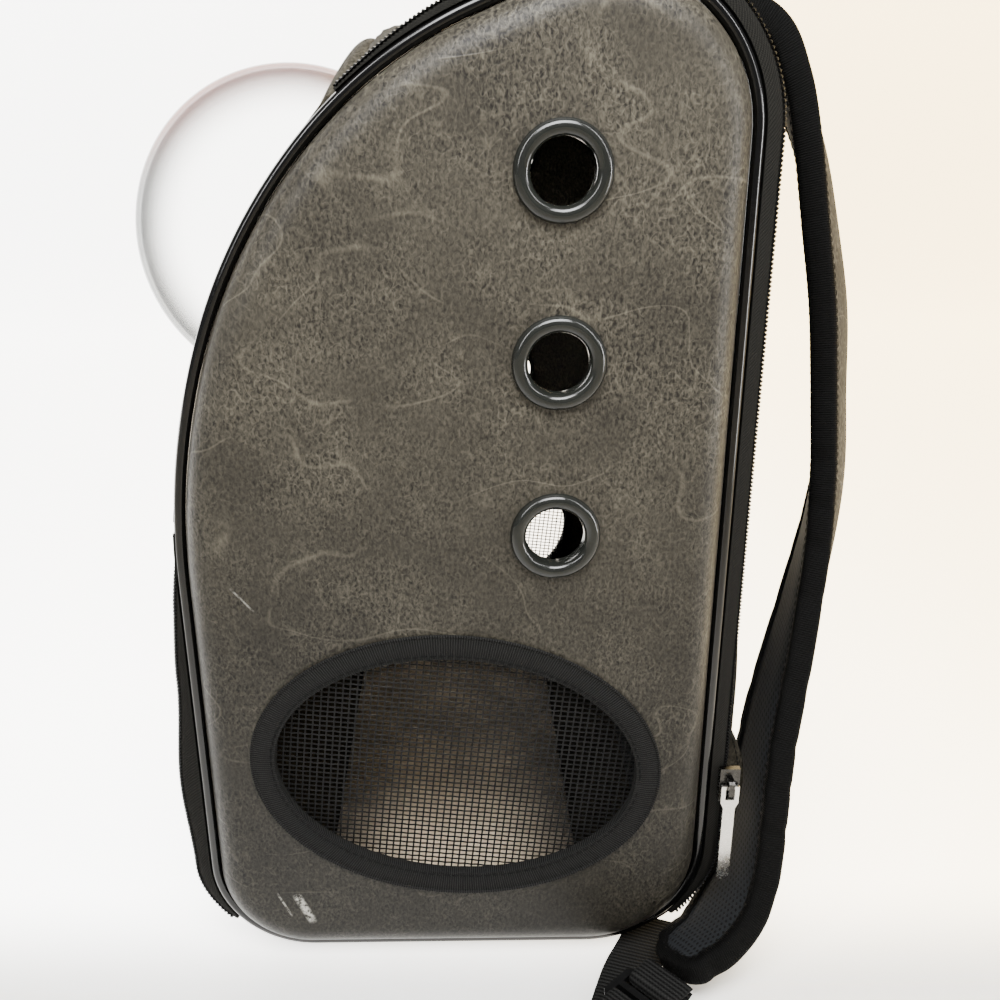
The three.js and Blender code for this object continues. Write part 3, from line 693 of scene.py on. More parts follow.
@dataclass(frozen=True)
class Leather(Finish):
    """Wrinkled synthetic leather with pale ridges on a grey-brown ground."""

    pit: Colour = tint(20, 18, 15)
    ridge: Colour = tint(80, 76, 66)
    worn: Colour = tint(150, 148, 140)
    rough: float = 0.48
    gloss: float = 0.15
    # Share of painted shade at the bottom of a piece.
    low_shade: float = 0.96
    scratches: tuple[Scratch, ...] = ()

    def paint(self, graph: Graph) -> None:
        """Builds the wrinkles, the pits between them, the tone patches, the scratches and a painted shade
        that darkens the lower part.

        Args:
            graph: The material's nodes.
        """
        place = graph.place()
        drawn = graph.scaled(place, (1.0, 1.15, 0.78))
        leaning = graph.scaled(place, (1.0, 0.7, 1.1))
        patch = graph.noise(place, 15, 4.0, 0.65)
        crinkled = graph.noise(place, 30, 4.0, 0.6, distort=0.5).rise(0.28, 0.72)
        mask = graph.noise(leaning, 48, 3.0, 0.6)
        ridges = graph.lines(drawn, 165, 0.045, 0.35) * mask.rise(0.36, 0.6)
        fine = graph.lines(drawn, 330, 0.06, 0.3)
        creases = graph.lines(leaning, 21, 0.009, 0.25) * mask.rise(0.36, 0.56)
        pits = graph.noise(drawn, 720, 1.0, 0.5, distort=0.5)
        lines = (ridges * 0.7 + fine * 0.5).clamp() * (crinkled * 0.7 + 0.3)
        grain = (pits - 0.5) * (crinkled * 0.9 + 0.5)
        pale = (patch * 0.52 + lines * 0.52 + grain * 1.05 + creases * 0.36).clamp()
        # Painted shade: the colour darkens towards the bottom of each piece, to darker copies of the
        # leather's colours.
        height = graph.node("ShaderNodeSeparateXYZ", {}, {0: place}, 2)
        low_shade_share = (1 - height.rise(0.0, 0.36)) * self.low_shade
        low_shaded_colour = graph.blend(pale, shade(self.pit, 0.2), shade(self.ridge, 0.36))
        colour = graph.blend(low_shade_share, graph.blend(pale, self.pit, self.ridge), low_shaded_colour)
        wear = self.wear(graph, place)
        if wear is not None:
            colour = graph.blend(wear, colour, self.worn)
        graph.feed(Base_Color=colour, Roughness=self.rough - pale * 0.12)
        graph.feed(Specular_IOR_Level=self.gloss)
        graph.bump(lines * 0.5 + grain * 0.8 + creases * 0.4, 0.32, 0.4)

    def wear(self, graph: Graph, place: Value) -> Value | None:
        """Share of worn white at each place, from the table of scratches.

        Args:
            graph: The material's nodes.
            place: Place on the object, in metres.

        Returns:
            The share, or nothing where there are no scratches.
        """
        if not self.scratches:
            return None
        y = graph.node("ShaderNodeSeparateXYZ", {}, {0: place}, 1)
        z = Value(graph, y.socket.node.outputs[2])
        ragged = graph.noise(place, 420, 3.0, 0.7)
        total: Any = 0.0
        for mark in self.scratches:
            run_y = mark.to_y - mark.from_y
            run_z = mark.to_z - mark.from_z
            span = math.hypot(run_y, run_z)
            away_y = y * 1000 - mark.from_y
            away_z = z * 1000 - mark.from_z
            along = (away_y * run_y + away_z * run_z) / (span * span)
            across = (away_y * run_z - away_z * run_y) / span
            ends = along.rise(0.0, 0.15) * (1 - along.rise(0.8, 1.0))
            line = 1 - (across.size() / mark.wide).rise(0.3, 1.0)
            total = line * ends * ragged.rise(0.36, 0.6) * mark.weight + total
        return total.clamp()


@dataclass(frozen=True)
class GlossVinyl(Finish):
    """Smooth glossy vinyl or moulded plastic with faint unevenness."""

    colour: Colour = tint(6, 6, 6)
    rough: float = 0.14
    gloss: float = 0.4

    def paint(self, graph: Graph) -> None:
        """Builds the colour and a faint waviness.

        Args:
            graph: The material's nodes.
        """
        place = graph.place()
        haze = graph.noise(place, 160, 2.0, 0.6)
        graph.feed(Base_Color=graph.blend(haze, self.colour, shade(self.colour, 1.8)))
        graph.feed(Roughness=self.rough + haze * 0.1, Specular_IOR_Level=self.gloss)
        graph.bump(haze, 0.1, 0.3)


@dataclass(frozen=True)
class RibbedTape(Finish):
    """Woven tape with ribs across its length."""

    colour: Colour = tint(3, 3, 3)
    light: Colour = tint(38, 38, 37)
    rib: float = 1.05
    cross: float = 0.9

    def paint(self, graph: Graph) -> None:
        """Builds ribs across the tape and the threads between them.

        Args:
            graph: The material's nodes.
        """
        along, across = graph.weave()
        ribs = (along * (TAU / (self.rib * MM))).cosine()
        threads = (across * (TAU / (self.cross * MM))).cosine()
        lint = graph.noise(graph.place(), 1500, 2.0)
        relief = ribs * 0.5 + threads * ribs * 0.22 + 0.5
        share = (relief * 0.5 + lint * 0.35 - 0.1).clamp()
        graph.feed(Base_Color=graph.blend(share, self.colour, self.light), Roughness=0.78 - share * 0.12)
        graph.feed(Specular_IOR_Level=0.05)
        graph.bump(relief, 0.7, 0.3)


@dataclass(frozen=True)
class AirMesh(Finish):
    """Knitted spacer cloth with a honeycomb of small holes."""

    colour: Colour = tint(24, 26, 28)
    hole: Colour = tint(1, 1, 1)
    pitch: float = 2.9

    def paint(self, graph: Graph) -> None:
        """Builds the honeycomb of holes and the knit between them.

        Args:
            graph: The material's nodes.
        """
        along, across = graph.weave()
        scale = TAU / (self.pitch * MM)
        slant = across * (scale * 0.866)
        half = along * (scale * 0.5)
        comb = (along * scale).cosine() + (half + slant).cosine() + (slant - half).cosine()
        holes = comb.rise(0.4, 1.5)
        knit = graph.noise(graph.place(), 1700, 2.0)
        ground = graph.blend(knit, shade(self.colour, 0.6), self.colour)
        graph.feed(Base_Color=graph.blend(holes, ground, self.hole), Roughness=0.82 + knit * 0.1)
        graph.feed(Specular_IOR_Level=0.15)
        graph.bump(1 - holes + knit * 0.2, 0.8, 0.7)


@dataclass(frozen=True)
class WovenCloth(Finish):
    """Slanted close weave of a zip's tape, matt."""

    colour: Colour = tint(5, 5, 4)
    light: Colour = tint(30, 29, 26)
    pitch: float = 1.5

    def paint(self, graph: Graph) -> None:
        """Builds slanted ribs broken by threads.

        Args:
            graph: The material's nodes.
        """
        along, across = graph.weave()
        scale = TAU / (self.pitch * MM)
        slant = ((along + across) * scale).cosine()
        threads = ((along - across) * (scale * 1.6)).cosine()
        relief = slant * 0.35 + threads * 0.15 + 0.5
        lint = graph.noise(graph.place(), 1300, 1.0)
        share = (relief * 0.7 + lint * 0.3 - 0.15).clamp()
        graph.feed(Base_Color=graph.blend(share, self.colour, self.light), Roughness=0.75 + lint * 0.1)
        graph.feed(Specular_IOR_Level=0.08)
        graph.bump(relief, 0.6, 0.25)


@dataclass(frozen=True)
class ClearShell(Finish):
    """Clear moulded plastic, with painted shade that makes it greyer where it is seen edge on."""

    clear: Colour = (0.995, 0.997, 0.993, 1.0)
    # Painted shade of the shell where it is seen edge on.
    edge: Colour = (0.024, 0.026, 0.025, 1.0)
    rosy: Colour = (0.07, 0.012, 0.006, 1.0)

    def paint(self, graph: Graph) -> None:
        """Builds a clear body with faint handling haze and a darker edge of painted shade.

        Args:
            graph: The material's nodes.
        """
        place = graph.place()
        haze = graph.noise(place, 60, 3.0, 0.6)
        height = graph.node("ShaderNodeSeparateXYZ", {}, {0: place}, 2)
        # Painted shade: greyer where the shell is seen edge on, tinted pink near its top rim.
        facing = graph.node("ShaderNodeLayerWeight", {}, {"Blend": 0.5}, "Facing")
        edge = graph.blend(height.rise(0.35, 0.39), self.edge, self.rosy)
        graph.feed(Base_Color=graph.blend(facing.rise(0.24, 0.86), self.clear, edge))
        graph.feed(Transmission_Weight=1.0, IOR=1.06, Roughness=haze.rise(0.45, 0.9) * 0.05 + 0.01)


@dataclass(frozen=True)
class PlatedMetal(Finish):
    """Dark plated metal with fine scuffs."""

    colour: Colour = tint(40, 39, 38)
    bright: Colour = tint(78, 77, 75)

    def paint(self, graph: Graph) -> None:
        """Builds the plating and its scuffs.

        Args:
            graph: The material's nodes.
        """
        scuff = graph.noise(graph.place(), 700, 3.0, 0.65)
        graph.feed(Base_Color=graph.blend(scuff, self.colour, self.bright))
        graph.feed(Metallic=1.0, Roughness=0.16 + scuff * 0.2)
        graph.bump(scuff, 0.1, 0.1)


@dataclass(frozen=True)
class ShortPile(Finish):
    """Brown short-pile cloth of the floor pad."""

    colour: Colour = tint(236, 218, 190)
    # Darker tone of the pile, which also serves as its painted shade.
    deep: Colour = tint(66, 60, 52)

    def paint(self, graph: Graph) -> None:
        """Builds the tufts, the way the pile is brushed, and painted light: paler in the middle of its right
        side, where light falls in through the near window.

        Args:
            graph: The material's nodes.
        """
        place = graph.place()
        tuft = graph.noise(place, 900, 1.0)
        brushed = graph.noise(place, 38, 3.0, 0.6)
        side = graph.node("ShaderNodeSeparateXYZ", {}, {0: place})
        depth = Value(graph, side.socket.node.outputs[1])
        middle = 1 - depth.size().rise(0.015, 0.066)
        # Painted light and shade: paler towards the right side and away from the front and back edges, darker
        # towards the far side and those edges.
        share = (side.rise(-0.05, 0.09) * middle * 0.9 + brushed * 0.4 - tuft * 0.3).clamp()
        graph.feed(Base_Color=graph.blend(share, self.deep, self.colour), Roughness=0.9 + tuft * 0.08)
        graph.bump(brushed * 0.5 - tuft, 0.8, 0.8)


@dataclass(frozen=True)
class PalePaper(Finish):
    """Matt pale surface of the floor, lit through from below."""

    colour: Colour = tint(250, 249, 246)
    dull: Colour = tint(243, 241, 236)
    white: Colour = (1.0, 0.995, 0.98, 1.0)
    cream: Colour = (1.0, 0.76, 0.38, 1.0)
    power: float = 5.5

    def paint(self, graph: Graph) -> None:
        """Builds a faint mottling and the light from below, which ends in front of the carrier.

        Args:
            graph: The material's nodes.
        """
        place = graph.place()
        haze = graph.noise(place, 90, 2.0, 0.6)
        x = graph.node("ShaderNodeSeparateXYZ", {}, {0: place})
        y = Value(graph, x.socket.node.outputs[1])
        warm = graph.blend(y.rise(-0.2, 0.5), self.white, self.cream)
        graph.feed(Base_Color=graph.blend(haze, self.dull, self.colour), Roughness=0.75 + haze * 0.1)
        graph.feed(Emission_Color=graph.blend(x.rise(0.1, 0.18), warm, (0.0, 0.0, 0.0, 1.0)))
        graph.feed(Specular_IOR_Level=0.1, Emission_Strength=self.power)


LEATHER = Leather("crackled leather", rough=0.75, gloss=0.02)
PANEL_LEATHER = Leather(
    "crackled leather with scratches",
    scratches=(
        Scratch(-74, 41, -66, 23, 2.6, 0.9),
        Scratch(-83, 42, -76, 27, 0.7, 0.6),
        Scratch(-91, 199, -81, 187, 0.6, 0.4),
    ),
)
STRAP_LEATHER = Leather(
    "matt strap leather", tint(36, 33, 28), tint(90, 85, 75), rough=0.8, gloss=0.03, low_shade=0.2
)
PIPING = GlossVinyl("black piping vinyl", tint(2, 2, 2), 0.1, 0.4)
EYELET_PLASTIC = GlossVinyl("grey eyelet plastic", tint(17, 18, 16), 0.1, 0.35)
LOCK_PLASTIC = GlossVinyl("black lock plastic", tint(5, 5, 5), 0.4, 0.15)
STRAND = GlossVinyl("black mesh strand", tint(4, 4, 4), 0.42, 0.12)
COIL = GlossVinyl("black zip coil", tint(4, 4, 4), 0.36, 0.12)
THREAD = GlossVinyl("black thread", tint(6, 6, 6), 0.62, 0.06)
BINDING = RibbedTape("ribbed binding tape")
# A darker copy of the binding tape: painted shade on the strap's edge.
SHADED_STRAP_TAPE = RibbedTape("ribbed strap tape", tint(1, 1, 1), tint(12, 12, 11))
WEBBING = RibbedTape("ribbed webbing", rib=2.1, cross=1.6)
AIR_MESH = AirMesh("honeycomb air mesh")
ZIP_TAPE = WovenCloth("woven zip tape")
CLEAR = ClearShell("clear bubble")
METAL = PlatedMetal("dark plated metal")
# The pull's paler plating is a painted reflection: a lighter copy of the slider's dark metal.
GLINT_PULL_METAL = PlatedMetal("bright plated metal", tint(186, 184, 180), tint(222, 220, 216))
PILE = ShortPile("brown short pile")
PAPER = PalePaper("pale floor")


@dataclass
class SubAssembly(ABC):
    """A group of pieces that is built together and rides on one body."""

    outline: Outline
    body: str = "carrier"

    @abstractmethod
    def build(self) -> None:
        """Builds and dresses every piece of the group."""

    def settle(self, obj: bpy.types.Object, finish: Finish, slot: str, *nodes: str) -> bpy.types.Object:
        """Dresses a new piece and seats it on its body.

        Args:
            obj: The piece.
            finish: Its finish.
            slot: The record's material slot of that finish; not used.
            nodes: Solids that the piece stands for.

        Returns:
            The piece.
        """
        obj.data.materials.clear()
        obj.data.materials.append(finish.material())
        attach(obj, self.body)
        if nodes:
            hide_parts(*nodes)
        LOG.info("%s: %d faces, %s", obj.name, len(obj.data.polygons), finish.name)
        return obj

    def keep(self, node: str, finish: Finish, edge: float) -> None:
        """Keeps a solid as it is, with softened edges and a finish.

        Args:
            node: Name of the solid.
            finish: Its finish.
            edge: Width of the softened edges, in millimetres.
        """
        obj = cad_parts[node]
        obj.data.materials.clear()
        obj.data.materials.append(finish.material())
        soft = obj.modifiers.new("soft edge", "BEVEL")
        soft.width = edge * MM
        soft.segments = 3
        soft.limit_method = "ANGLE"
        soft.angle_limit = SOLID_SHARP
        obj.data.shade_smooth()
        obj.data.set_sharp_from_angle(angle=SOLID_SHARP)
        LOG.info("%s: kept solid, %s", node, finish.name)


@dataclass
class SidedAssembly(SubAssembly):
    """A group of pieces on one of the wearer's sides."""

    side: Side = Side.RIGHT

    @property
    def label(self) -> str:
        """Word for this side in the names of the pieces."""
        return self.side.label

    def mirror(self, points: np.ndarray) -> np.ndarray:
        """Points of the right side moved to this side."""
        return points * np.array([self.side.value, 1.0, 1.0])

    def sideways(self, count: int) -> np.ndarray:
        """So many copies of the direction out of this side."""
        return np.tile([float(self.side.value), 0.0, 0.0], (count, 1))


def wall_rings(outer: np.ndarray, inner: np.ndarray) -> np.ndarray:
    """Closed rings of a wall from its outer and inner rows of points."""
    return np.concatenate([outer, inner[:, ::-1]], axis=1)


def wall_across(outer: np.ndarray) -> np.ndarray:
    """Distances round the rings of a wall, the same there and back."""
    out = outer[len(outer) // 2, :, 0]
    return np.concatenate([out, out[::-1], out[:1]])


@dataclass
class Cabin(SubAssembly):
    """Front, back and base between the side panels, and the pad on the floor."""

    reach: float = 127.7
    seam_x: float = 141.4
    wall: float = 3.0
    back_pad: float = 8.0
    back_pinch: float = 0.7
    back_swell: float = 7.0
    base_plate: float = 4.0
    bulge: float = 10.0
    bulge_from: tuple[float, float] = (0.0, 120.0)
    bulge_to: tuple[float, float] = (300.0, 390.0)
    centre: tuple[float, float, float] = BUBBLE_CENTRE
    axis: tuple[float, float, float] = BUBBLE_AXIS
    seat: float = BUBBLE_SEAT
    seat_flat: float = 104.0
    seat_blend: float = 124.0
    hole: float = 80.9
    pad_size: tuple[float, float, float] = (268.0, 132.0, 6.0)
    pad_corner: float = 14.0
    pad_floor: float = 4.3
    seam_gap: float = 0.05
    zip_gap: float = 0.3
    zip_step: float = 3.5

    def build(self) -> None:
        """Builds the three panels and the floor pad."""
        self.front_panel()
        self.back_panel()
        self.base_panel()
        self.floor_pad()

    def seated(self, points: np.ndarray, height: float) -> np.ndarray:
        """Points near the bubble moved along its axis on to the flat seat.

        Args:
            points: Points of the front panel.
            height: Height of the seat over the dome's middle plane.

        Returns:
            The moved points.
        """
        axis = np.array(self.axis)
        arm = points - np.array(self.centre)
        rise = arm @ axis
        radius = np.linalg.norm(arm - rise[..., None] * axis, axis=-1)
        share = np.where(rise > -60, 1 - smoothstep(radius, self.seat_flat, self.seat_blend), 0.0)
        return points + ((height - rise) * share)[..., None] * axis

    def front_panel(self) -> None:
        """Builds the curved front with the round hole for the bubble."""
        edge = self.outline
        wide_from = edge.front_zip_end + self.zip_step
        wide_to = edge.main_zip_start - self.zip_step
        marks = np.concatenate([
            steps_between(edge.front_start + self.seam_gap, edge.front_zip_end + self.zip_gap, 5),
            steps_between(wide_from, wide_to, 4),
            steps_between(edge.main_zip_start - self.zip_gap, edge.back_seam - self.seam_gap, 5),
        ])
        wide = (marks >= wide_from) & (marks <= wide_to)
        reach = np.where(wide, self.seam_x, self.reach)
        bulge = self.bulge * smoothstep(marks, *self.bulge_from) * (1 - smoothstep(marks, *self.bulge_to))
        quarter = math.pi / 2 * 0.86
        shares = np.sin(np.linspace(-1, 1, 57) * quarter) / math.sin(quarter)

        def grid(depth: float) -> np.ndarray:
            """Rows of points of one face of the panel.

            Args:
                depth: How deep the face lies below the outer one.

            Returns:
                Rows along the edge, each with points from side to side.
            """
            columns = []
            for share in shares:
                out = edge.cloth(marks) - 0.2 + bulge * (1 - share * share) - depth
                columns.append(edge.points(marks, out, share * reach))
            return self.seated(np.stack(columns, axis=1), self.seat - depth)

        outer = grid(0.0)
        rings = wall_rings(outer, grid(self.wall))
        panel = loft("front_panel_skin", rings, marks, wall_across(outer), caps=True)
        self.cut_round(panel)
        self.settle(panel, LEATHER, "leather", "front_panel")

    def cut_round(self, panel: bpy.types.Object) -> None:
        """Cuts the bubble's hole through the front.

        Args:
            panel: The front panel.
        """
        mesh = bpy.data.meshes.new("cutter")
        work = bmesh.new()
        radius = self.hole * MM
        bmesh.ops.create_cone(work, cap_ends=True, segments=128, radius1=radius, radius2=radius, depth=0.12)
        turn = Vector((0, 0, 1)).rotation_difference(Vector(self.axis)).to_matrix().to_4x4()
        work.transform(Matrix.Translation(Vector(self.centre) * MM) @ turn)
        work.to_mesh(mesh)
        work.free()
        cutter = bpy.data.objects.new("cutter", mesh)
        bpy.context.scene.collection.objects.link(cutter)
        cut = panel.modifiers.new("hole", "BOOLEAN")
        cut.operation = "DIFFERENCE"
        cut.solver = "EXACT"
        cut.object = cutter
        bpy.context.view_layer.update()
        graph = bpy.context.evaluated_depsgraph_get()
        done = bpy.data.meshes.new_from_object(panel.evaluated_get(graph))
        panel.modifiers.clear()
        panel.data = done
        done.set_sharp_from_angle(angle=SHARP)
        bpy.data.objects.remove(cutter)

    def back_panel(self) -> None:
        """Builds the padded back, pulled in along its seams."""
        edge = self.outline
        marks = steps_between(edge.back_seam + self.seam_gap, edge.back_end - self.seam_gap, 5)
        shares = np.sin(np.linspace(-1, 1, 61) * math.pi / 2)
        ends = np.minimum(marks - marks[0], marks[-1] - marks)
        sink = self.back_pinch * (1 - smoothstep(ends, 0, 16))
        swell = self.back_swell * edge.low_swell(marks)

        def grid(depth: float) -> np.ndarray:
            """Rows of points of one face of the pad.

            Args:
                depth: How deep the face lies below the outer one.

            Returns:
                Rows along the edge, each with points from side to side.
            """
            columns = []
            for share in shares:
                pinch = self.back_pinch * abs(share) ** 14
                pull = np.maximum(sink, pinch) - swell * (1 - abs(share) ** 24) if depth == 0 else 0.0
                columns.append(edge.points(marks, edge.cloth(marks) - 0.2 - depth - pull, share * self.reach))
            return np.stack(columns, axis=1)

        outer = grid(0.0)
        rings = wall_rings(outer, grid(self.back_pad))
        panel = loft("back_panel_pad", rings, marks, wall_across(outer), caps=True)
        self.settle(panel, AIR_MESH, "cloth", "back_panel")

    def base_panel(self) -> None:
        """Builds the leather base with its turned-up ends."""
        edge = self.outline
        last = edge.front_start + edge.perimeter - self.seam_gap
        marks = steps_between(edge.back_end + self.seam_gap, last, 4)
        shares = np.linspace(-1, 1, 31)

        def grid(depth: float) -> np.ndarray:
            """Rows of points so deep below the outer face."""
            out = edge.cloth(marks) - depth
            return np.stack([edge.points(marks, out, share * self.seam_x) for share in shares], axis=1)

        outer = grid(0.0)
        rings = wall_rings(outer, grid(self.base_plate))
        panel = loft("base_panel_skin", rings, marks, wall_across(outer), caps=True)
        self.settle(panel, LEATHER, "leather", "base_panel")

    def floor_pad(self) -> None:
        """Builds the loose pile pad on the floor."""
        wide, deep, thick = self.pad_size
        turn = np.linspace(0, TAU, 120, endpoint=False)

        def ring(inset: float, height: float) -> np.ndarray:
            """Rounded rectangle that follows the pad's edge.

            Args:
                inset: How far inside the edge it lies.
                height: Its height over the pad's underside.

            Returns:
                Its points.
            """
            corner = max(self.pad_corner - inset, 1.0)
            cos, sin = np.cos(turn), np.sin(turn)
            x = np.sign(cos) * (wide / 2 - inset - corner) + corner * cos
            y = np.sign(sin) * (deep / 2 - inset - corner) + corner * sin
            return np.stack([x, y, np.full_like(x, self.pad_floor + height)], axis=-1)

        levels = [
            *((60, 0), (30, 0), (2, 0), (0.4, 0.8), (0, 2.6)),
            *((0.5, 4.4), (2.2, 5.6), (8, 5.9), (30, thick), (60, thick)),
        ]
        rings = np.stack([ring(inset, height) for inset, height in levels])
        middle = rings[[0, -1]].mean(axis=1, keepdims=True)
        ends = np.repeat(middle, rings.shape[1], axis=1)
        rings = np.concatenate([ends[:1], rings, ends[1:]])
        pad = loft("floor_pad_pile", rings, np.arange(len(rings)), np.arange(len(turn) + 1))
        self.settle(pad, PILE, "floor_pad", "floor_pad")


@dataclass
class Bubble(SubAssembly):
    """Clear dome and the padded ring that holds it."""

    centre: tuple[float, float, float] = BUBBLE_CENTRE
    axis: tuple[float, float, float] = BUBBLE_AXIS
    radius: float = 80.5
    wall: float = 2.5
    flange: float = 91.5
    seat: float = BUBBLE_SEAT
    panel_wall: float = 3.0
    ring_inner: float = 82.0
    ring_outer: float = 100.5
    ring_crest: float = 3.0

    def turned(self, name: str, profile: Sequence[tuple[float, float]], segments: int) -> bpy.types.Object:
        """Round piece about the bubble's axis.

        Args:
            name: Name of the piece.
            profile: Radius and height of each point of its section.
            segments: Steps round the axis.

        Returns:
            The object.
        """
        axis = np.array(self.axis) / np.linalg.norm(self.axis)
        side = np.array([1.0, 0.0, 0.0])
        up = np.cross(axis, side)
        turn = np.arange(segments) * TAU / segments
        ways = np.cos(turn)[:, None] * side + np.sin(turn)[:, None] * up
        rows = np.array(profile)
        points = np.array(self.centre) + ways[:, None] * rows[None, :, :1] + axis * rows[None, :, 1:]
        walked = np.concatenate([lengths(rows), [lengths(rows)[-1] + 1]])
        around = np.arange(segments + 1) * TAU * self.ring_outer / segments
        return loft(name, points, around, walked, loop=True)

    def build(self) -> None:
        """Builds the dome and the ring."""
        top = self.seat - self.panel_wall - 0.3
        turn = np.linspace(0.004, math.pi / 2, 36)
        inside = self.radius - self.wall
        outer = [(math.sin(a) * self.radius, math.cos(a) * self.radius) for a in turn]
        inner = [(math.sin(a) * inside, math.cos(a) * inside) for a in turn[::-1]]
        brim = [
            (self.radius - 0.1, top + 2),
            (self.radius + 0.6, top + 0.5),
            (self.radius + 2, top),
            (self.flange, top),
            (self.flange, top - self.wall),
            (inside + 1.5, top - self.wall),
            (inside + 0.2, top - self.wall + 1.5),
        ]
        dome = self.turned("bubble_dome_shell", [*outer, *brim, *inner], 128)
        self.settle(dome, CLEAR, "dome", "bubble_dome")
        base = self.seat + 0.4
        middle = (self.ring_inner + self.ring_outer) / 2
        half = (self.ring_outer - self.ring_inner) / 2
        crest = self.ring_crest - base
        arch = np.linspace(0.02, math.pi - 0.02, 28)
        round_top = [(middle + math.cos(a) * half, base + math.sin(a) ** 0.8 * crest) for a in arch]
        section = [*round_top, (self.ring_inner, base), (self.ring_outer, base)]
        ring = self.turned("bubble_ring_pad", section, 144)
        self.settle(ring, LEATHER, "leather", "bubble_ring")


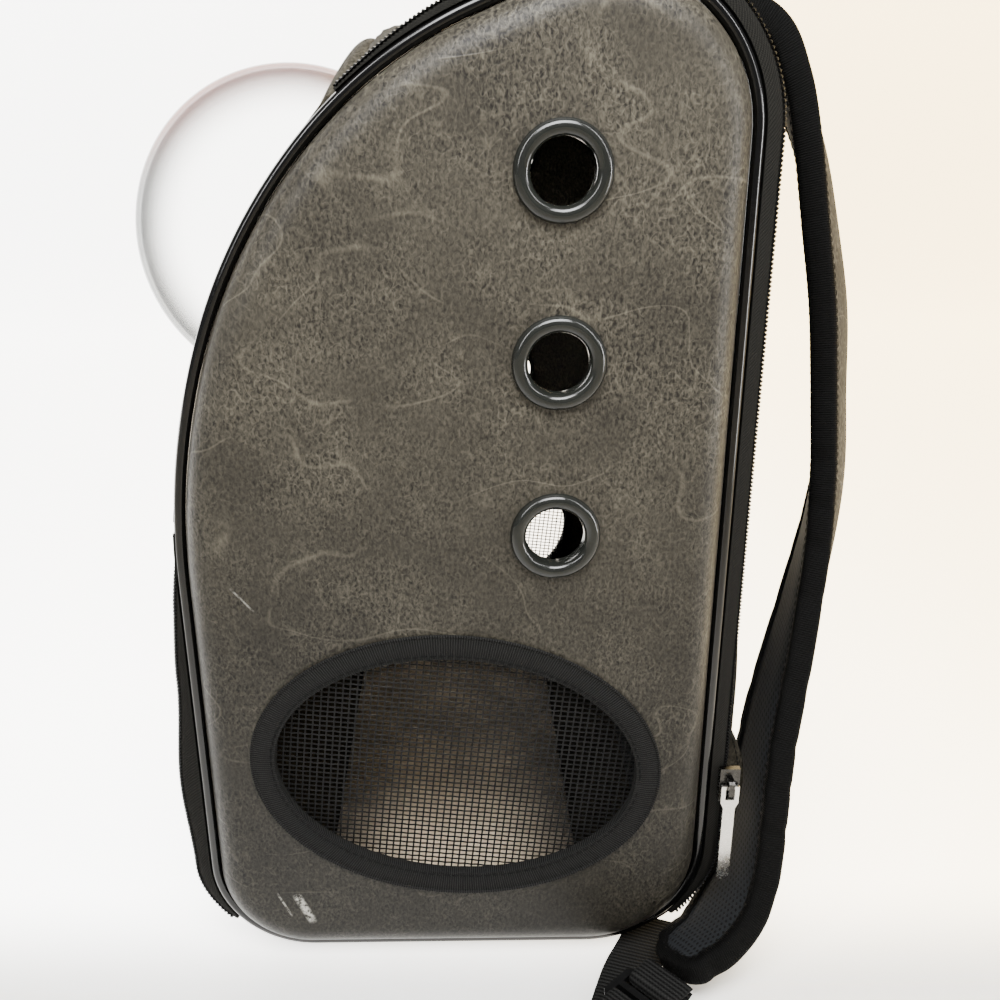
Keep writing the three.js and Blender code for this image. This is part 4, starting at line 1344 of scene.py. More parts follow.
@dataclass
class SidePanel(SidedAssembly):
    """Moulded side panel with its piping, eyelets and mesh window."""

    half_width: float = 145.0
    wall: float = 3.0
    rise: float = 12.0
    roll: float = 14.0
    piping_radius: float = 2.6
    piping_out: float = 2.9
    piping_x: float = 144.6
    eyelet_y: float = 44.0
    eyelet_z: tuple[float, float, float] = (361.6, 291.7, 220.4)
    eyelet_outer: float = 18.4
    eyelet_hole: float = 12.0
    eyelet_barrel: float = 14.4
    eyelet_high: float = 3.3
    window_y: float = 2.2
    window_z: float = 108.6
    window_tilt: float = 6.2
    window_hole: tuple[float, float] = (84.0, 59.0)
    window_inner: tuple[float, float] = (80.4, 55.3)
    window_outer: tuple[float, float] = (91.4, 67.0)
    net_size: tuple[float, float] = (87.0, 62.0)
    net_pitch: tuple[float, float] = (3.1, 2.45)
    net_sink: float = 0.7
    weave_depth: float = 0.16
    strand: float = 0.4
    tape_wide: float = 11.2

    @property
    def face_x(self) -> float:
        """Distance of the panel's flat face from the middle."""
        return self.half_width + self.rise

    def build(self) -> None:
        """Builds every piece of this side."""
        self.panel()
        self.piping()
        for number, z in enumerate(self.eyelet_z, 1):
            self.eyelet(number, z)
        self.net()
        self.binding()

    def oval(self, half: tuple[float, float], turn: np.ndarray) -> np.ndarray:
        """Points of the window's oval.

        Args:
            half: Half its length and half its height.
            turn: Angles of the points.

        Returns:
            Rows of y and z.
        """
        return self.tilted(np.cos(turn) * half[0], np.sin(turn) * half[1])

    def tilted(self, along: np.ndarray, up: np.ndarray) -> np.ndarray:
        """Places on the tilted window.

        Args:
            along: Distances along the window from its middle.
            up: Distances up the window from its middle.

        Returns:
            Rows of y and z.
        """
        tilt = math.radians(-self.window_tilt)
        y = self.window_y + along * math.cos(tilt) - up * math.sin(tilt)
        z = self.window_z + along * math.sin(tilt) + up * math.cos(tilt)
        return np.stack([y, z], axis=-1)

    def panel(self) -> None:
        """Builds the moulded shell with a rolled rim and a pierced face."""
        marks = np.linspace(0, self.outline.perimeter, 300, endpoint=False)
        outer_turn = np.linspace(0, math.pi / 2, 12)
        inner_turn = np.linspace(math.pi / 2, 0, 7)
        levels = []
        for turn, wall in ((inner_turn, self.wall), (outer_turn, 0.0)):
            inset = wall + (self.roll - wall) * (1 - np.cos(turn))
            levels += zip(inset, self.half_width + (self.rise - wall) * np.sin(turn))
        rings = np.stack([self.outline.points(marks, -inset, x) for inset, x in levels])
        points = [rings.reshape(-1, 3)]
        faces = band_faces(len(levels) - 1, len(marks), len(levels))[0].tolist()
        start = rings.size // 3
        flat, triangles, loops = self.pierced_face(rings[-1][:, 1:])
        for x in (self.face_x, self.face_x - self.wall):
            points.append(np.column_stack([np.full(len(flat), x), flat]))
        back = start + len(flat)
        for first in (start, back):
            faces += [[first + corner for corner in triangle] for triangle in triangles]
        for loop in loops:
            for here, there in zip(loop, np.roll(loop, -1)):
                faces.append([start + here, start + there, back + there, back + here])
        shell = mesh_object(f"side_panel_{self.label}_shell", self.mirror(np.vstack(points)), faces)
        work = bmesh.new()
        work.from_mesh(shell.data)
        bmesh.ops.remove_doubles(work, verts=work.verts, dist=1e-5)
        bmesh.ops.recalc_face_normals(work, faces=work.faces)
        work.to_mesh(shell.data)
        work.free()
        shell.data.set_sharp_from_angle(angle=SHARP)
        finish = PANEL_LEATHER if self.side is Side.RIGHT else LEATHER
        self.settle(shell, finish, "leather", f"side_panel_{self.label}")

    def pierced_face(self, rim: np.ndarray) -> tuple[np.ndarray, list[list[int]], list[np.ndarray]]:
        """Triangles of the flat face between its rim and its holes.

        Args:
            rim: Points round the face, as y and z.

        Returns:
            The points, the triangles, and the corner numbers round each hole.
        """
        circle = np.linspace(0, TAU, 48, endpoint=False)
        hole = self.eyelet_barrel + 0.6
        rings = [rim]
        for z in self.eyelet_z:
            y = self.eyelet_y + np.cos(circle) * hole
            rings.append(np.stack([y, z + np.sin(circle) * hole], axis=-1))
        rings.append(self.oval(self.window_hole, np.linspace(0, TAU, 120, endpoint=False)))
        corners = [Vector(point) for ring in rings for point in ring]
        edges = []
        first = 0
        for ring in rings:
            order = np.arange(len(ring))
            edges += [(int(a), int(b)) for a, b in zip(first + order, first + np.roll(order, -1))]
            first += len(ring)
        low, high = rim.min(axis=0) + 5, rim.max(axis=0) - 5
        columns, rows = np.meshgrid(np.arange(low[0], high[0], 8), np.arange(low[1], high[1], 8))
        inner = np.column_stack([columns.ravel(), rows.ravel()])
        loops = np.vstack(rings)
        away = np.array([np.min(np.linalg.norm(loops - point, axis=1)) for point in inner])
        corners += [Vector(point) for point in inner[(away > 4) & self.on_face(inner, rim)]]
        verts, _, faces, *_ = delaunay_2d_cdt(corners, edges, [], 0, 1e-6)
        flat = np.array([tuple(vert) for vert in verts])
        spots = flat[np.array(faces)]
        first, second = spots[:, 1] - spots[:, 0], spots[:, 2] - spots[:, 0]
        area = np.abs(first[:, 0] * second[:, 1] - first[:, 1] * second[:, 0]) / 2
        kept = self.on_face(spots.mean(axis=1), rim) & (area > 0.01)
        triangles = [list(face) for face, keep in zip(faces, kept) if keep]
        numbers = np.arange(len(loops))
        sizes = np.cumsum([len(ring) for ring in rings])
        return flat, triangles, np.split(numbers, sizes[:-1])[1:]

    def on_face(self, spots: np.ndarray, rim: np.ndarray) -> np.ndarray:
        """Which spots lie inside the rim and outside every hole.

        Args:
            spots: Rows of y and z.
            rim: Points round the face, as y and z.

        Returns:
            Whether each spot is on the face.
        """
        y, z = spots[:, 0], spots[:, 1]
        after = np.roll(rim, -1, axis=0)
        inside = np.zeros(len(spots), bool)
        for (from_y, from_z), (to_y, to_z) in zip(rim, after):
            if from_z != to_z:
                crossing = (from_z > z) != (to_z > z)
                inside ^= crossing & (y < (to_y - from_y) * (z - from_z) / (to_z - from_z) + from_y)
        for eyelet_z in self.eyelet_z:
            inside &= np.hypot(y - self.eyelet_y, z - eyelet_z) > self.eyelet_barrel + 0.55
        tilt = math.radians(-self.window_tilt)
        away_y, away_z = y - self.window_y, z - self.window_z
        along = away_y * math.cos(tilt) + away_z * math.sin(tilt)
        up = away_z * math.cos(tilt) - away_y * math.sin(tilt)
        return inside & (np.hypot(along / self.window_hole[0], up / self.window_hole[1]) > 0.9994)

    def piping(self) -> None:
        """Builds the round piping along the panel's edge."""
        marks = np.linspace(0, self.outline.perimeter, 360, endpoint=False)
        turn = np.arange(14) * TAU / 14
        out = self.piping_out + np.cos(turn) * self.piping_radius
        x = self.piping_x + np.sin(turn) * self.piping_radius
        rings = np.stack([self.outline.points(marks, *spot) for spot in zip(out, x)], axis=1)
        along = np.append(marks, self.outline.perimeter)
        around = np.arange(len(turn) + 1)
        tube = loft(f"piping_{self.label}_cord", self.mirror(rings), along, around, loop=True)
        self.settle(tube, PIPING, "piping", f"piping_{self.label}")

    def eyelet(self, number: int, z: float) -> None:
        """Builds one eyelet with a rounded rim.

        Args:
            number: Which eyelet it is, from the top.
            z: Height of its middle.
        """
        inside = self.face_x - self.wall - 1.4
        seat = self.face_x + 0.3
        middle = (self.eyelet_outer + self.eyelet_hole) / 2
        half = (self.eyelet_outer - self.eyelet_hole) / 2
        arch = np.linspace(0.03, math.pi - 0.25, 18)
        rim = [(middle + math.cos(a) * half, seat + math.sin(a) ** 0.85 * self.eyelet_high) for a in arch]
        profile = [
            (self.eyelet_barrel, inside),
            (self.eyelet_barrel, seat),
            (self.eyelet_outer, seat),
            *rim,
            (self.eyelet_hole, seat + 0.4),
            (self.eyelet_hole, inside + 0.4),
            (self.eyelet_hole + 0.4, inside),
        ]
        rows = np.array(profile)
        turn = np.arange(72) * TAU / 72
        y = self.eyelet_y + np.cos(turn)[:, None] * rows[:, 0]
        height = z + np.sin(turn)[:, None] * rows[:, 0]
        x = np.broadcast_to(rows[:, 1], y.shape)
        rings = self.mirror(np.stack([x, y, height], axis=-1))
        name = f"eyelet_{self.label}_{number}"
        ring = loft(f"{name}_ring", rings, np.arange(len(turn) + 1), np.arange(len(rows) + 1), loop=True)
        self.settle(ring, EYELET_PLASTIC, "eyelet", name)

    def net(self) -> None:
        """Builds the window's net from single woven strands."""
        points: list[np.ndarray] = []
        faces: list[np.ndarray] = []
        start = 0
        for level in (False, True):
            count = math.floor(self.net_size[level] / self.net_pitch[level])
            for line in range(-count, count + 1):
                rings = self.strand_rings(level, line)
                if rings is None:
                    continue
                size_along, corners = rings.shape[:2]
                points.append(rings.reshape(-1, 3))
                faces.append(start + band_faces(size_along - 1, corners, size_along)[0])
                start += size_along * corners
        net = mesh_object(f"mesh_window_{self.label}_net", self.mirror(np.vstack(points)), np.vstack(faces))
        self.settle(net, STRAND, "mesh", f"mesh_window_{self.label}")

    def strand_rings(self, level: bool, line: int) -> np.ndarray | None:
        """Rings of one strand of the net, which passes over and under those that cross it.

        Args:
            level: Whether it runs along the window and not up it.
            line: Which strand it is, counted from the middle one.

        Returns:
            The rings, or nothing where the strand is too short to cross another.
        """
        offset = line * self.net_pitch[level]
        step = self.net_pitch[not level]
        reach = math.sqrt(max(0.0, 1 - (offset / self.net_size[level]) ** 2)) * self.net_size[not level]
        count = math.floor(reach / step)
        if count < 1:
            return None
        knots = np.arange(-count, count + 1)
        over = (knots + line) % 2 == (0 if level else 1)
        wave = np.where(over, self.weave_depth, -self.weave_depth)
        ends = np.concatenate([[-reach], knots * step, [reach]])
        depth = np.concatenate([[0.0], wave, [0.0]])
        still = np.full_like(ends, offset)
        spot = self.tilted(ends, still) if level else self.tilted(still, ends)
        middle = np.column_stack([self.face_x - self.wall - self.net_sink + depth, spot])
        out = np.array([1.0, 0.0, 0.0])
        across = np.cross(out, unit(np.array([0.0, *(spot[-1] - spot[0])])))
        flat = np.tile(out * 0.75, (len(middle), 1))
        return tube_rings(middle, flat, np.tile(across, (len(middle), 1)), self.strand, 5)

    def binding(self) -> None:
        """Builds the tape round the window, its welt and its stitches."""
        turn = np.linspace(0, TAU, 220, endpoint=False)
        inner = np.array(self.window_inner)
        outer = np.array(self.window_outer)
        seat = self.face_x + 0.3
        under = -self.wall - 0.3
        section = [
            *((1.0, 0.0), (1.02, 0.5), (1.0, 1.1), (0.95, 1.3), (0.9, 0.75), (0.8, 0.85)),
            *((0.55, 1.2), (0.3, 1.15), (0.17, 0.8), (0.1, 1.0), (0.03, 0.9), (0.0, 0.3)),
            *((0.0, under), (0.29, under), (0.29, 0.0)),
        ]
        rings = []
        for share, height in section:
            spot = self.oval(tuple(inner + (outer - inner) * share), turn)
            rings.append(np.column_stack([np.full(len(turn), seat + height), spot]))
        middle = rings[6]
        walked = lengths(np.vstack([middle, middle[:1]]))
        across = np.array([*(share for share, _ in section), 1.0]) * self.tape_wide
        points = self.mirror(np.stack(rings, axis=1))
        tape = loft(f"window_binding_{self.label}_tape", points, walked, across, loop=True)
        self.settle(tape, BINDING, "binding", f"window_binding_{self.label}")
        line = self.oval(tuple(inner + (outer - inner) * 0.17), np.linspace(0, TAU, 600))
        path = self.mirror(np.column_stack([np.full(len(line), seat + 0.95), line]))
        thread = stitches(f"window_stitches_{self.label}", path, self.sideways(len(path)), 2.9, 3.7, 0.33)
        self.settle(thread, THREAD, "binding")


@dataclass
class Zips(SidedAssembly):
    """Main and front zip of one side, with the slider and its pull."""

    tape_inner: float = 128.0
    tape_low: float = 5.8
    tape_wall: float = 1.5
    coil_x: float = 143.6
    seam_depth: float = 1.5
    swell: float = 5.5
    taper: float = 34.0
    end_height: float = 4.6
    coil_pitch: float = 1.7
    coil_high: float = 0.3
    coil_wide: float = 1.6
    coil_wire: float = 0.62

    def build(self) -> None:
        """Builds both zips and dresses the slider and the pull."""
        edge = self.outline
        front = (edge.front_start + 0.5, edge.front_zip_end)
        main = (edge.main_zip_start, edge.back_end)
        for name, (start, end) in {"zip_front": front, "zip_main": main}.items():
            self.tape(f"{name}_{self.label}", start, end)
            self.coil(f"{name}_{self.label}_coil", start + 1, end - 1)
        self.keep(f"zip_slider_{self.label}", METAL, 0.5)
        self.keep(f"zip_pull_{self.label}", GLINT_PULL_METAL, 0.7)

    def tape(self, node: str, start: float, end: float) -> None:
        """Builds the two tapes of a zip as one folded strip.

        Args:
            node: The solid that it stands for.
            start: Where the zip starts along the edge.
            end: Where it ends.
        """
        marks = steps_between(start, end, 3.5)
        out = self.height(marks)
        low = np.full_like(out, self.tape_low)
        seam = np.full_like(out, self.seam_depth)
        under = out - self.tape_wall
        swell = self.swell * self.outline.low_swell(marks)
        section = [
            *((low, 146.2), (low * 0.45 + (out - 1.4) * 0.55, 146.0), (out - 1.6, 145.5)),
            *((out - 0.4, 144.4), (out - 0.3, 142.4), (out, 140.6)),
            *((out + swell * 0.6, 137), (out + swell, 132), (out, self.tape_inner)),
            *((under, self.tape_inner), (under, 132), (under, 137), (under, 139.8)),
            *((seam, 139.6), (seam, 141.4), (low + 0.1, 143.2)),
        ]
        rings = np.stack([self.outline.points(marks, level, x) for level, x in section], axis=1)
        across = np.array([0, 3, 6, 7.5, 9.5, 11.3, 15, 20, 24, 25.5, 29, 34, 37.3, 41, 43, 46, 49], float)
        strip = loft(f"{node}_tape", self.mirror(rings), marks, across, caps=True)
        self.settle(strip, ZIP_TAPE, "zip", node)

    def height(self, marks: np.ndarray) -> np.ndarray:
        """Height of the tapes, which sinks at the front zip's upper end.

        Args:
            marks: Distances along the edge.

        Returns:
            How far the tapes stand outside the edge at each of them.
        """
        end = self.outline.front_zip_end
        sink = smoothstep(marks, end - self.taper, end) * (marks <= end + 1)
        out = self.outline.cloth(marks)
        return out - sink * (out - self.end_height)

    def coil(self, name: str, start: float, end: float) -> None:
        """Builds the coil of teeth along the fold of the tapes.

        Args:
            name: Name of the piece.
            start: Where the coil starts along the edge.
            end: Where it ends.
        """
        marks = np.arange(start, end, self.coil_pitch / 9)
        turn = marks / self.coil_pitch * TAU
        out = self.height(marks) - 0.1 + np.sin(turn) * self.coil_high
        x = self.coil_x + np.cos(turn) * self.coil_wide
        line = self.outline.points(marks, out, x)
        way = unit(np.gradient(line, axis=0))
        lift = self.outline.points(marks, out + 1, x) - line
        lift = unit(lift - way * np.sum(lift * way, axis=1, keepdims=True))
        rings = tube_rings(line, lift, np.cross(way, lift), self.coil_wire, 4)
        wire = loft(name, self.mirror(rings), marks, np.arange(5))
        self.settle(wire, COIL, "zip")


@dataclass(frozen=True)
class StrapRow:
    """Outer and inner edge of a strap's middle surface at one section."""

    outer: tuple[float, float, float]
    inner: tuple[float, float, float]


@dataclass(frozen=True)
class TabRow:
    """Inner and outer edge of a corner tab at one section, as y and z."""

    inner: tuple[float, float]
    outer: tuple[float, float]


@dataclass(frozen=True)
class RibbonRow:
    """Middle of a ribbon and the direction across it, in degrees."""

    x: float
    y: float
    z: float
    across: float


@dataclass
class ShoulderStrap(SidedAssembly):
    """Padded strap with its binding, webbing, ladder lock and corner tab."""

    thick: float = 11.8
    tip: float = 13.0
    tuck: float = 0.5
    tuck_from: float = 140.0
    lap: float = 6.5
    binding_wall: float = 1.1
    skin_wall: float = 1.0
    skin_from: int = 2
    steps: int = 12
    pucker: float = 1.3
    pucker_pitch: float = 27.0
    puff: float = 3.0
    webbing_wide: float = 25.0
    webbing_thick: float = 1.5
    rows: Sequence[StrapRow] = (
        StrapRow((88, 105, 430), (33, 105, 430)),
        StrapRow((88, 135, 417), (33, 137, 417)),
        StrapRow((89, 147, 396), (34, 154, 396)),
        StrapRow((90, 153.5, 370), (37, 169, 370)),
        StrapRow((91, 160, 335), (39, 180, 335)),
        StrapRow((92, 166.5, 300), (40, 187.5, 300)),
        StrapRow((94, 170.5, 262), (42, 192.5, 262)),
        StrapRow((99, 172.5, 228), (47, 193.5, 228)),
        StrapRow((107, 171.5, 195), (54, 188, 195)),
        StrapRow((117, 167, 165), (63, 179, 165)),
        StrapRow((129, 161, 135), (74, 168, 133)),
        StrapRow((142, 154, 108), (87, 157, 104)),
        StrapRow((152, 150, 84), (97, 150, 76)),
        StrapRow((160, 147, 62), (105, 147, 48)),
        StrapRow((168, 143, 45), (115, 140, 26)),
        StrapRow((175, 136, 34), (126, 128.5, 14)),
        StrapRow((182, 126, 27), (140.5, 116.5, 9.2)),
        StrapRow((186, 116, 21), (153, 103, 8.5)),
    )
    corner_x: tuple[float, float] = (133.0, 135.4)
    corner_rows: Sequence[TabRow] = (
        TabRow((126.3, 118), (127.8, 118.4)),
        TabRow((126.3, 104), (133.5, 106.5)),
        TabRow((126.3, 90), (137.8, 92)),
        TabRow((126.3, 74), (137.6, 76)),
        TabRow((126.3, 58), (136, 63)),
        TabRow((125.5, 46.2), (134.5, 48)),
        TabRow((122.5, 37.2), (130.5, 36.5)),
        TabRow((118.1, 28.6), (125, 26.5)),
        TabRow((112.6, 20.9), (117.5, 17.5)),
    )
    webbing_rows: Sequence[RibbonRow] = (
        RibbonRow(133, 101, 1.1, 70),
        RibbonRow(148, 94, 1.1, 70),
        RibbonRow(166, 83.5, 1.1, 70),
        RibbonRow(186, 75, 1.1, 68),
        RibbonRow(205, 67, 1.1, 60),
        RibbonRow(216, 59, 3.2, 46),
        RibbonRow(219, 56, 7.2, 43),
        RibbonRow(215, 60, 10.6, 42),
        RibbonRow(206, 69, 12, 42),
        RibbonRow(197.8, 78, 12, 42),
        RibbonRow(195.5, 80.5, 11.6, 42),
        RibbonRow(194.7, 81.5, 8.6, 42),
        RibbonRow(195.5, 80.5, 5.6, 42),
        RibbonRow(197.8, 78, 5.2, 42),
        RibbonRow(201.4, 74, 5.2, 42),
    )
    tab_rows: Sequence[RibbonRow] = (
        RibbonRow(178.9, 99, 9.4, 42),
        RibbonRow(185, 92.2, 5.2, 42),
        RibbonRow(187.3, 89.7, 5.6, 42),
        RibbonRow(188.1, 88.7, 8.6, 42),
        RibbonRow(187.3, 89.7, 11.6, 42),
        RibbonRow(185, 92.2, 12, 42),
        RibbonRow(178.9, 99, 12.2, 42),
    )

    def build(self) -> None:
        """Builds the strap, its tapes and its webbing."""
        self.frame_sections()
        self.pad()
        self.skin()
        self.binding()
        self.corner_tab()
        self.ribbon(f"webbing_{self.label}", self.webbing_rows, "strip")
        self.ribbon(f"strap_tab_{self.label}", self.tab_rows, "loop")
        self.keep(f"ladder_lock_{self.label}", LOCK_PLASTIC, 0.7)

    def frame_sections(self) -> None:
        """Works out the middle and the three directions of every section."""
        table = np.array([(*row.outer, *row.inner) for row in self.rows], float)
        if self.side is Side.LEFT:
            for column in (1, 4):
                far = np.maximum(table[:, column] - self.tuck_from, 0)
                table[:, column] -= far * (1 - self.tuck)
        line = smooth_line(table, self.steps)
        outer, inner = line[:, :3], line[:, 3:]
        self.middle = (outer + inner) / 2
        self.half = np.linalg.norm(outer - inner, axis=1) / 2
        self.across = unit(outer - inner)
        way = unit(np.gradient(self.middle, axis=0))
        self.face = unit(np.cross(self.across, way))
        self.down = np.cross(self.face, self.across)
        self.walked = lengths(self.middle)

    def layer(
        self, name: str, wide: np.ndarray, deep: np.ndarray, sections: slice, extra: int = 0
    ) -> bpy.types.Object:
        """Block that follows the strap, with as many corners on top as below.

        Args:
            name: Name of the piece.
            wide: Distance across the strap, sections by corners.
            deep: Height over its middle surface, sections by corners.
            sections: Sections that it covers.
            extra: Sections past the last one, round the strap's end.

        Returns:
            The object.
        """
        middle, across, face = self.middle[sections], self.across[sections], self.face[sections]
        walked = self.walked[sections]
        if extra:
            shares = np.linspace(0.1, 0.98, extra)[:, None]
            middle = np.vstack([middle, middle[-1] + self.down[-1] * shares * (self.tip - 3)])
            across = np.vstack([across, np.repeat(across[-1:], extra, axis=0)])
            face = np.vstack([face, np.repeat(face[-1:], extra, axis=0)])
            walked = np.concatenate([walked, walked[-1] + shares[:, 0] * (self.tip - 3)])
        rings = middle[:, None] + across[:, None] * wide[..., None] + face[:, None] * deep[..., None]
        top = wide[len(wide) // 2]
        return loft(name, self.mirror(rings), walked, np.append(top, top[0]), caps=True)

    def pad(self) -> None:
        """Builds the padded core, which shows as knitted cloth on its inner face."""
        inset = self.binding_wall + 0.9
        core = self.thick / 2 - self.binding_wall - 0.3
        extra = 8
        shares = np.linspace(0.1, 0.98, extra)
        reach = np.concatenate([self.half - inset, (self.half[-1] - inset) * np.sqrt(1 - shares**2)])
        spread = np.linspace(-1, 1, 25)
        crown = 1.4 * np.clip(1 - (np.abs(spread) / 0.82) ** 4, 0, 1)
        first = self.skin_from * self.steps
        bare = 1 - smoothstep(np.arange(len(reach)), first - 5, first - 1)
        thin = np.ones(len(reach))
        thin[-extra:] = np.sqrt(1 - shares**2) * 0.6 + 0.4
        top = (core + crown[None] * bare[:, None]) * thin[:, None]
        low = -(core + crown[None]) * thin[:, None]
        wide = reach[:, None] * np.concatenate([spread, spread[::-1]])[None]
        deep = np.concatenate([top, low[:, ::-1]], axis=1)
        block = self.layer(f"strap_pad_{self.label}_core", wide, deep, slice(None), extra)
        self.settle(block, AIR_MESH, "cloth", f"strap_pad_{self.label}")

    def skin(self) -> None:
        """Builds the leather on the strap's outward face."""
        first = self.skin_from * self.steps
        reach = self.half[first:] - self.lap - 0.3
        low = self.thick / 2 - self.binding_wall
        spread = np.linspace(-1, 1, 17)
        wide = reach[:, None] * np.concatenate([spread, spread[::-1]])[None]
        crown = low + self.skin_wall * (0.55 + 0.5 * (1 - spread**4))
        walked = self.walked[first:] - self.walked[first]
        puff = self.puff * smoothstep(walked, 0, 70) * (1 - smoothstep(walked, walked[-1] - 120, walked[-1]))
        puff *= 1 + 0.16 * np.sin(walked / self.pucker_pitch * 2)
        top = crown + puff[:, None] * (1 - spread**2)
        deep = np.concatenate([top, np.full_like(top, low)], axis=1)
        cover = self.layer(f"strap_face_{self.label}_skin", wide, deep, slice(first, None))
        self.settle(cover, STRAP_LEATHER, "leather", f"strap_face_{self.label}")

    def binding(self) -> None:
        """Builds the tape folded over the strap's edge, and its stitches."""
        fan = np.linspace(0, math.pi, 18)[1:-1, None]
        ways = self.across[-1] * np.cos(fan) + self.down[-1] * np.sin(fan)
        tip = self.across[-1] * np.cos(fan) * self.half[-1] + self.down[-1] * np.sin(fan) * self.tip
        ends = self.middle[-1] + tip
        edge = self.across * self.half[:, None]
        line = np.vstack([self.middle + edge, ends, (self.middle - edge)[::-1]])
        way = np.vstack([self.across, ways, -self.across[::-1]])
        face = np.vstack([self.face, np.repeat(self.face[-1:], len(ends), axis=0), self.face[::-1]])
        walked = lengths(line)
        notch = np.abs(np.cos(walked / self.pucker_pitch * math.pi + np.sin(walked * 0.05))) ** 10
        notch *= smoothstep(walked, 150, 210) * (1 - smoothstep(walked, walked[-1] - 210, walked[-1] - 150))
        line = line - way * (notch * self.pucker)[:, None]
        skin = self.thick / 2
        wall, lap = self.binding_wall, self.lap
        core = skin - wall
        outside = [
            *((0, skin - 2.6), (-0.5, skin - 1.1), (-1.5, skin - 0.2), (-3, skin), (0.5 - lap, skin - 0.1)),
            *((-lap, skin - 0.5), (-lap, core), (-wall - 1, core), (-wall, core - 1)),
        ]
        mirrored = [(out, -deep) for out, deep in outside[::-1]]
        section = [*mirrored[-2:], (0.15, 0), *outside, *mirrored[:-2]]
        rings = np.stack([line + way * out + face * deep for out, deep in section], axis=1)
        corners = np.array([*section, section[0]])
        tape = loft(f"strap_binding_{self.label}_tape", self.mirror(rings), lengths(line), lengths(corners))
        self.settle(tape, SHADED_STRAP_TAPE, "binding", f"strap_binding_{self.label}")
        for name, sign in (("outer", 1), ("inner", -1)):
            path = self.mirror(line + way * (1.4 - lap) + face * (sign * (skin - 0.05)))
            out = self.mirror(face * sign)
            thread = stitches(f"strap_stitches_{self.label}_{name}", path, out, 3.0, 3.9, 0.24)
            self.settle(thread, THREAD, "binding")

    def corner_tab(self) -> None:
        """Builds the leather tab that stands out from the back seam, with its row of stitches."""
        rows = smooth_line(np.array([(*row.inner, *row.outer) for row in self.corner_rows], float), 5)
        spread = np.linspace(0, 1, 11)
        flat = rows[:, None, :2] * (1 - spread[:, None]) + rows[:, None, 2:] * spread[:, None]
        low, high = self.corner_x
        half = (high - low) / 2 * np.sqrt(np.clip(1 - spread**10, 0.12, 1))
        middle = (low + high) / 2

        def grid(sign: int) -> np.ndarray:
            """Rows of points on one face of the tab."""
            x = np.broadcast_to(middle + sign * half, flat.shape[:2])
            return np.concatenate([x[..., None], flat], axis=-1)

        walked = lengths(rows[:, 2:])
        rings = self.mirror(wall_rings(grid(1), grid(-1)))
        across = np.concatenate([spread, spread[::-1], spread[:1]]) * 12
        tab = loft(f"corner_tab_{self.label}_leather", rings, walked, across, caps=True)
        self.settle(tab, LEATHER, "leather", f"corner_tab_{self.label}")
        edge = rows[3:, :2] * 0.22 + rows[3:, 2:] * 0.78
        path = self.mirror(np.column_stack([np.full(len(edge), high + 0.02), edge]))
        thread = stitches(f"corner_stitches_{self.label}", path, self.sideways(len(path)), 2.6, 3.4, 0.24)
        self.settle(thread, THREAD, "binding")

    def ribbon(self, node: str, rows: Sequence[RibbonRow], kind: str) -> None:
        """Builds a flat woven ribbon.

        Args:
            node: The solid that it stands for.
            rows: Sections of the ribbon.
            kind: Last word of the piece's name.
        """
        table = smooth_line(np.array([(row.x, row.y, row.z, row.across) for row in rows], float), 6)
        middle = table[:, :3]
        turn = np.radians(table[:, 3])
        across = np.stack([np.cos(turn), np.sin(turn), np.zeros_like(turn)], axis=-1)
        way = unit(np.gradient(middle, axis=0))
        face = unit(np.cross(way, across))
        spread = np.linspace(-1, 1, 13)
        round_edge = np.sqrt(np.clip(1 - np.abs(spread) ** 16, 0.1, 1))
        wide = np.concatenate([spread, spread[::-1]]) * self.webbing_wide / 2
        deep = np.concatenate([round_edge, -round_edge[::-1]]) * self.webbing_thick / 2
        rings = middle[:, None] + across[:, None] * wide[:, None] + face[:, None] * deep[:, None]
        distance = np.append(wide, wide[0])
        strip = loft(f"{node}_{kind}", self.mirror(rings), lengths(middle), distance, caps=True)
        self.settle(strip, WEBBING, "webbing", node)


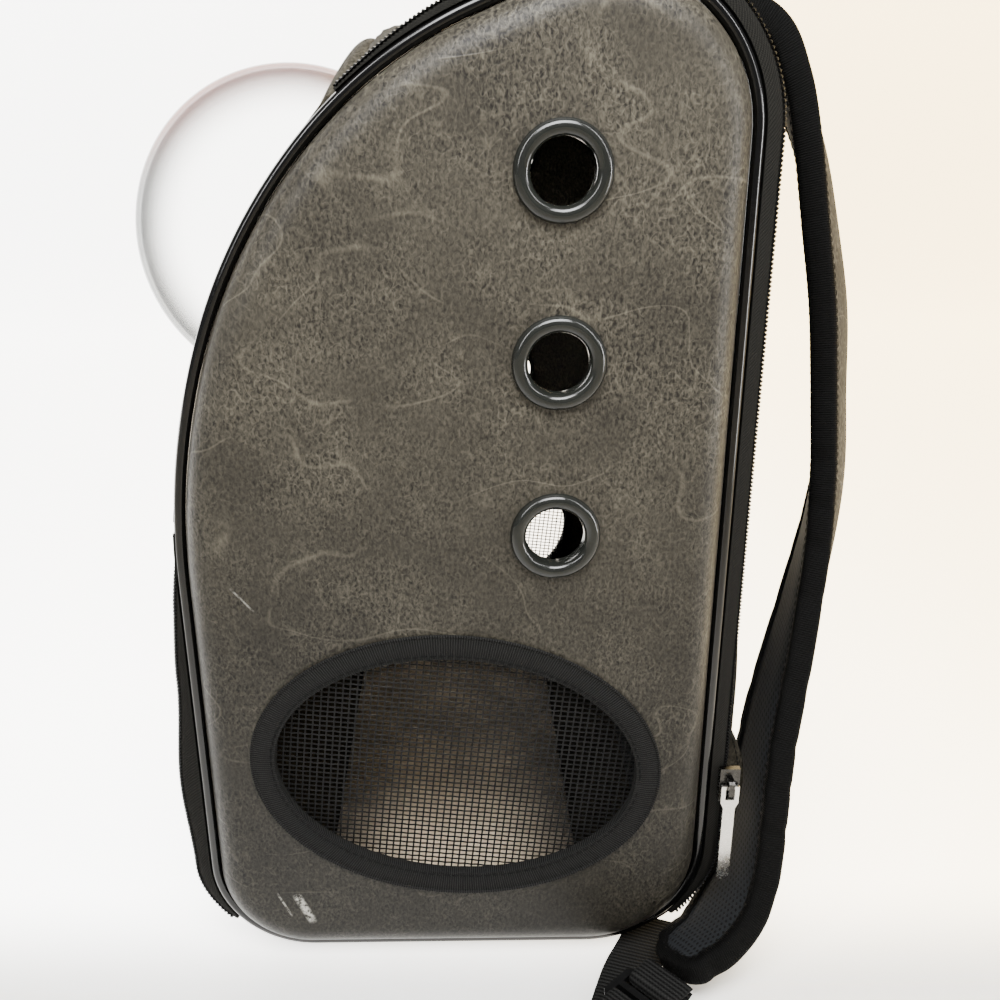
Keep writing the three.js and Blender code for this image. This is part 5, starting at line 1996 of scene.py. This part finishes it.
@dataclass
class Studio:
    """Floor, lights and camera."""

    camera_place: tuple[float, float, float] = (535.0, 5.0, 374.0)
    camera_pitch: float = 20.0
    camera_roll: float = 0.72
    camera_shift: float = 0.041
    lens: float = 36.0
    sensor: float = 36.0
    wall_start: float = -1500.0
    wall_bend: float = 900.0

    def build(self) -> None:
        """Sets up everything round the carrier."""
        self.floor()
        self.sky()
        self.lamp("top light", (0.62, 0.0, 1.05), (0.15, 0, 0.42), (0.7, 0.5), 8, 75)
        self.lamp("front strip", (0.85, -0.75, 0.95), (0.15, -0.1, 0.4), (0.1, 1.1), 2.5, 75)
        self.lamp("back strip", (0.8, 0.85, 0.95), (0.15, 0.1, 0.4), (0.1, 1.1), 2, 75)
        self.lamp("low strip", (0.45, 0.75, 0.27), (0.145, 0.12, 0.27), (0.07, 0.5), 1.1, 75)
        self.camera()

    def floor(self) -> None:
        """Builds the pale floor, which curves up into a wall far behind."""
        turn = np.linspace(0, math.pi / 2, 14)
        away = self.wall_start - np.sin(turn) * self.wall_bend
        height = self.wall_bend - np.cos(turn) * self.wall_bend
        profile = [(4000.0, 0.0), *zip(away, height), (self.wall_start - self.wall_bend, 4000.0)]
        points = [(x, y, z) for x, z in profile for y in (-5000.0, 5000.0)]
        faces = [[2 * row, 2 * row + 1, 2 * row + 3, 2 * row + 2] for row in range(len(profile) - 1)]
        ground = mesh_object("pale_floor", np.array(points), faces)
        ground.data.materials.append(PAPER.material())

    def sky(self) -> None:
        """Sets the soft white light all round."""
        world = bpy.data.worlds.new("soft light")
        world.use_nodes = True
        ground = world.node_tree.nodes["Background"]
        ground.inputs["Color"].default_value = (1.0, 0.995, 0.985, 1.0)
        ground.inputs["Strength"].default_value = 0.35
        bpy.context.scene.world = world

    def lamp(
        self,
        name: str,
        place: Sequence[float],
        target: Sequence[float],
        size: tuple[float, float],
        watts: float,
        spread: float,
    ) -> None:
        """Adds a soft light.

        Args:
            name: Name of the light.
            place: Where it stands, in metres.
            target: What it points at, in metres.
            size: Its width and its height, in metres.
            watts: Its power.
            spread: How wide its beam opens, in degrees.
        """
        data = bpy.data.lights.new(name, "AREA")
        data.shape = "RECTANGLE"
        data.size, data.size_y = size
        data.energy = watts
        data.spread = math.radians(spread)
        lamp = bpy.data.objects.new(name, data)
        lamp.location = Vector(place)
        lamp.rotation_mode = "QUATERNION"
        lamp.rotation_quaternion = (Vector(target) - Vector(place)).to_track_quat("-Z", "Y")
        bpy.context.scene.collection.objects.link(lamp)

    def camera(self) -> None:
        """Adds the camera, looking down at the near side."""
        data = bpy.data.cameras.new("camera")
        data.lens = self.lens
        data.sensor_width = self.sensor
        data.shift_x = self.camera_shift
        data.clip_start = 0.01
        camera = bpy.data.objects.new("camera", data)
        camera.location = Vector(self.camera_place) * MM
        pitch = math.radians(self.camera_pitch)
        camera.rotation_mode = "QUATERNION"
        look = Vector((-math.cos(pitch), 0, -math.sin(pitch))).to_track_quat("-Z", "Y")
        camera.rotation_quaternion = look @ Quaternion((0, 0, 1), -math.radians(self.camera_roll))
        bpy.context.scene.collection.objects.link(camera)
        bpy.context.scene.camera = camera


def main() -> None:
    """Builds the carrier and its surroundings."""
    logging.basicConfig(level=logging.INFO, format="%(message)s")
    Studio().build()
    outline = Outline()
    groups: list[SubAssembly] = [Cabin(outline), Bubble(outline)]
    for side in Side:
        groups += [SidePanel(outline, side=side), Zips(outline, side=side), ShoulderStrap(outline, side=side)]
    for group in groups:
        LOG.info("building %s", type(group).__name__)
        group.build()
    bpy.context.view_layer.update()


if __name__ == "__main__":
    main()
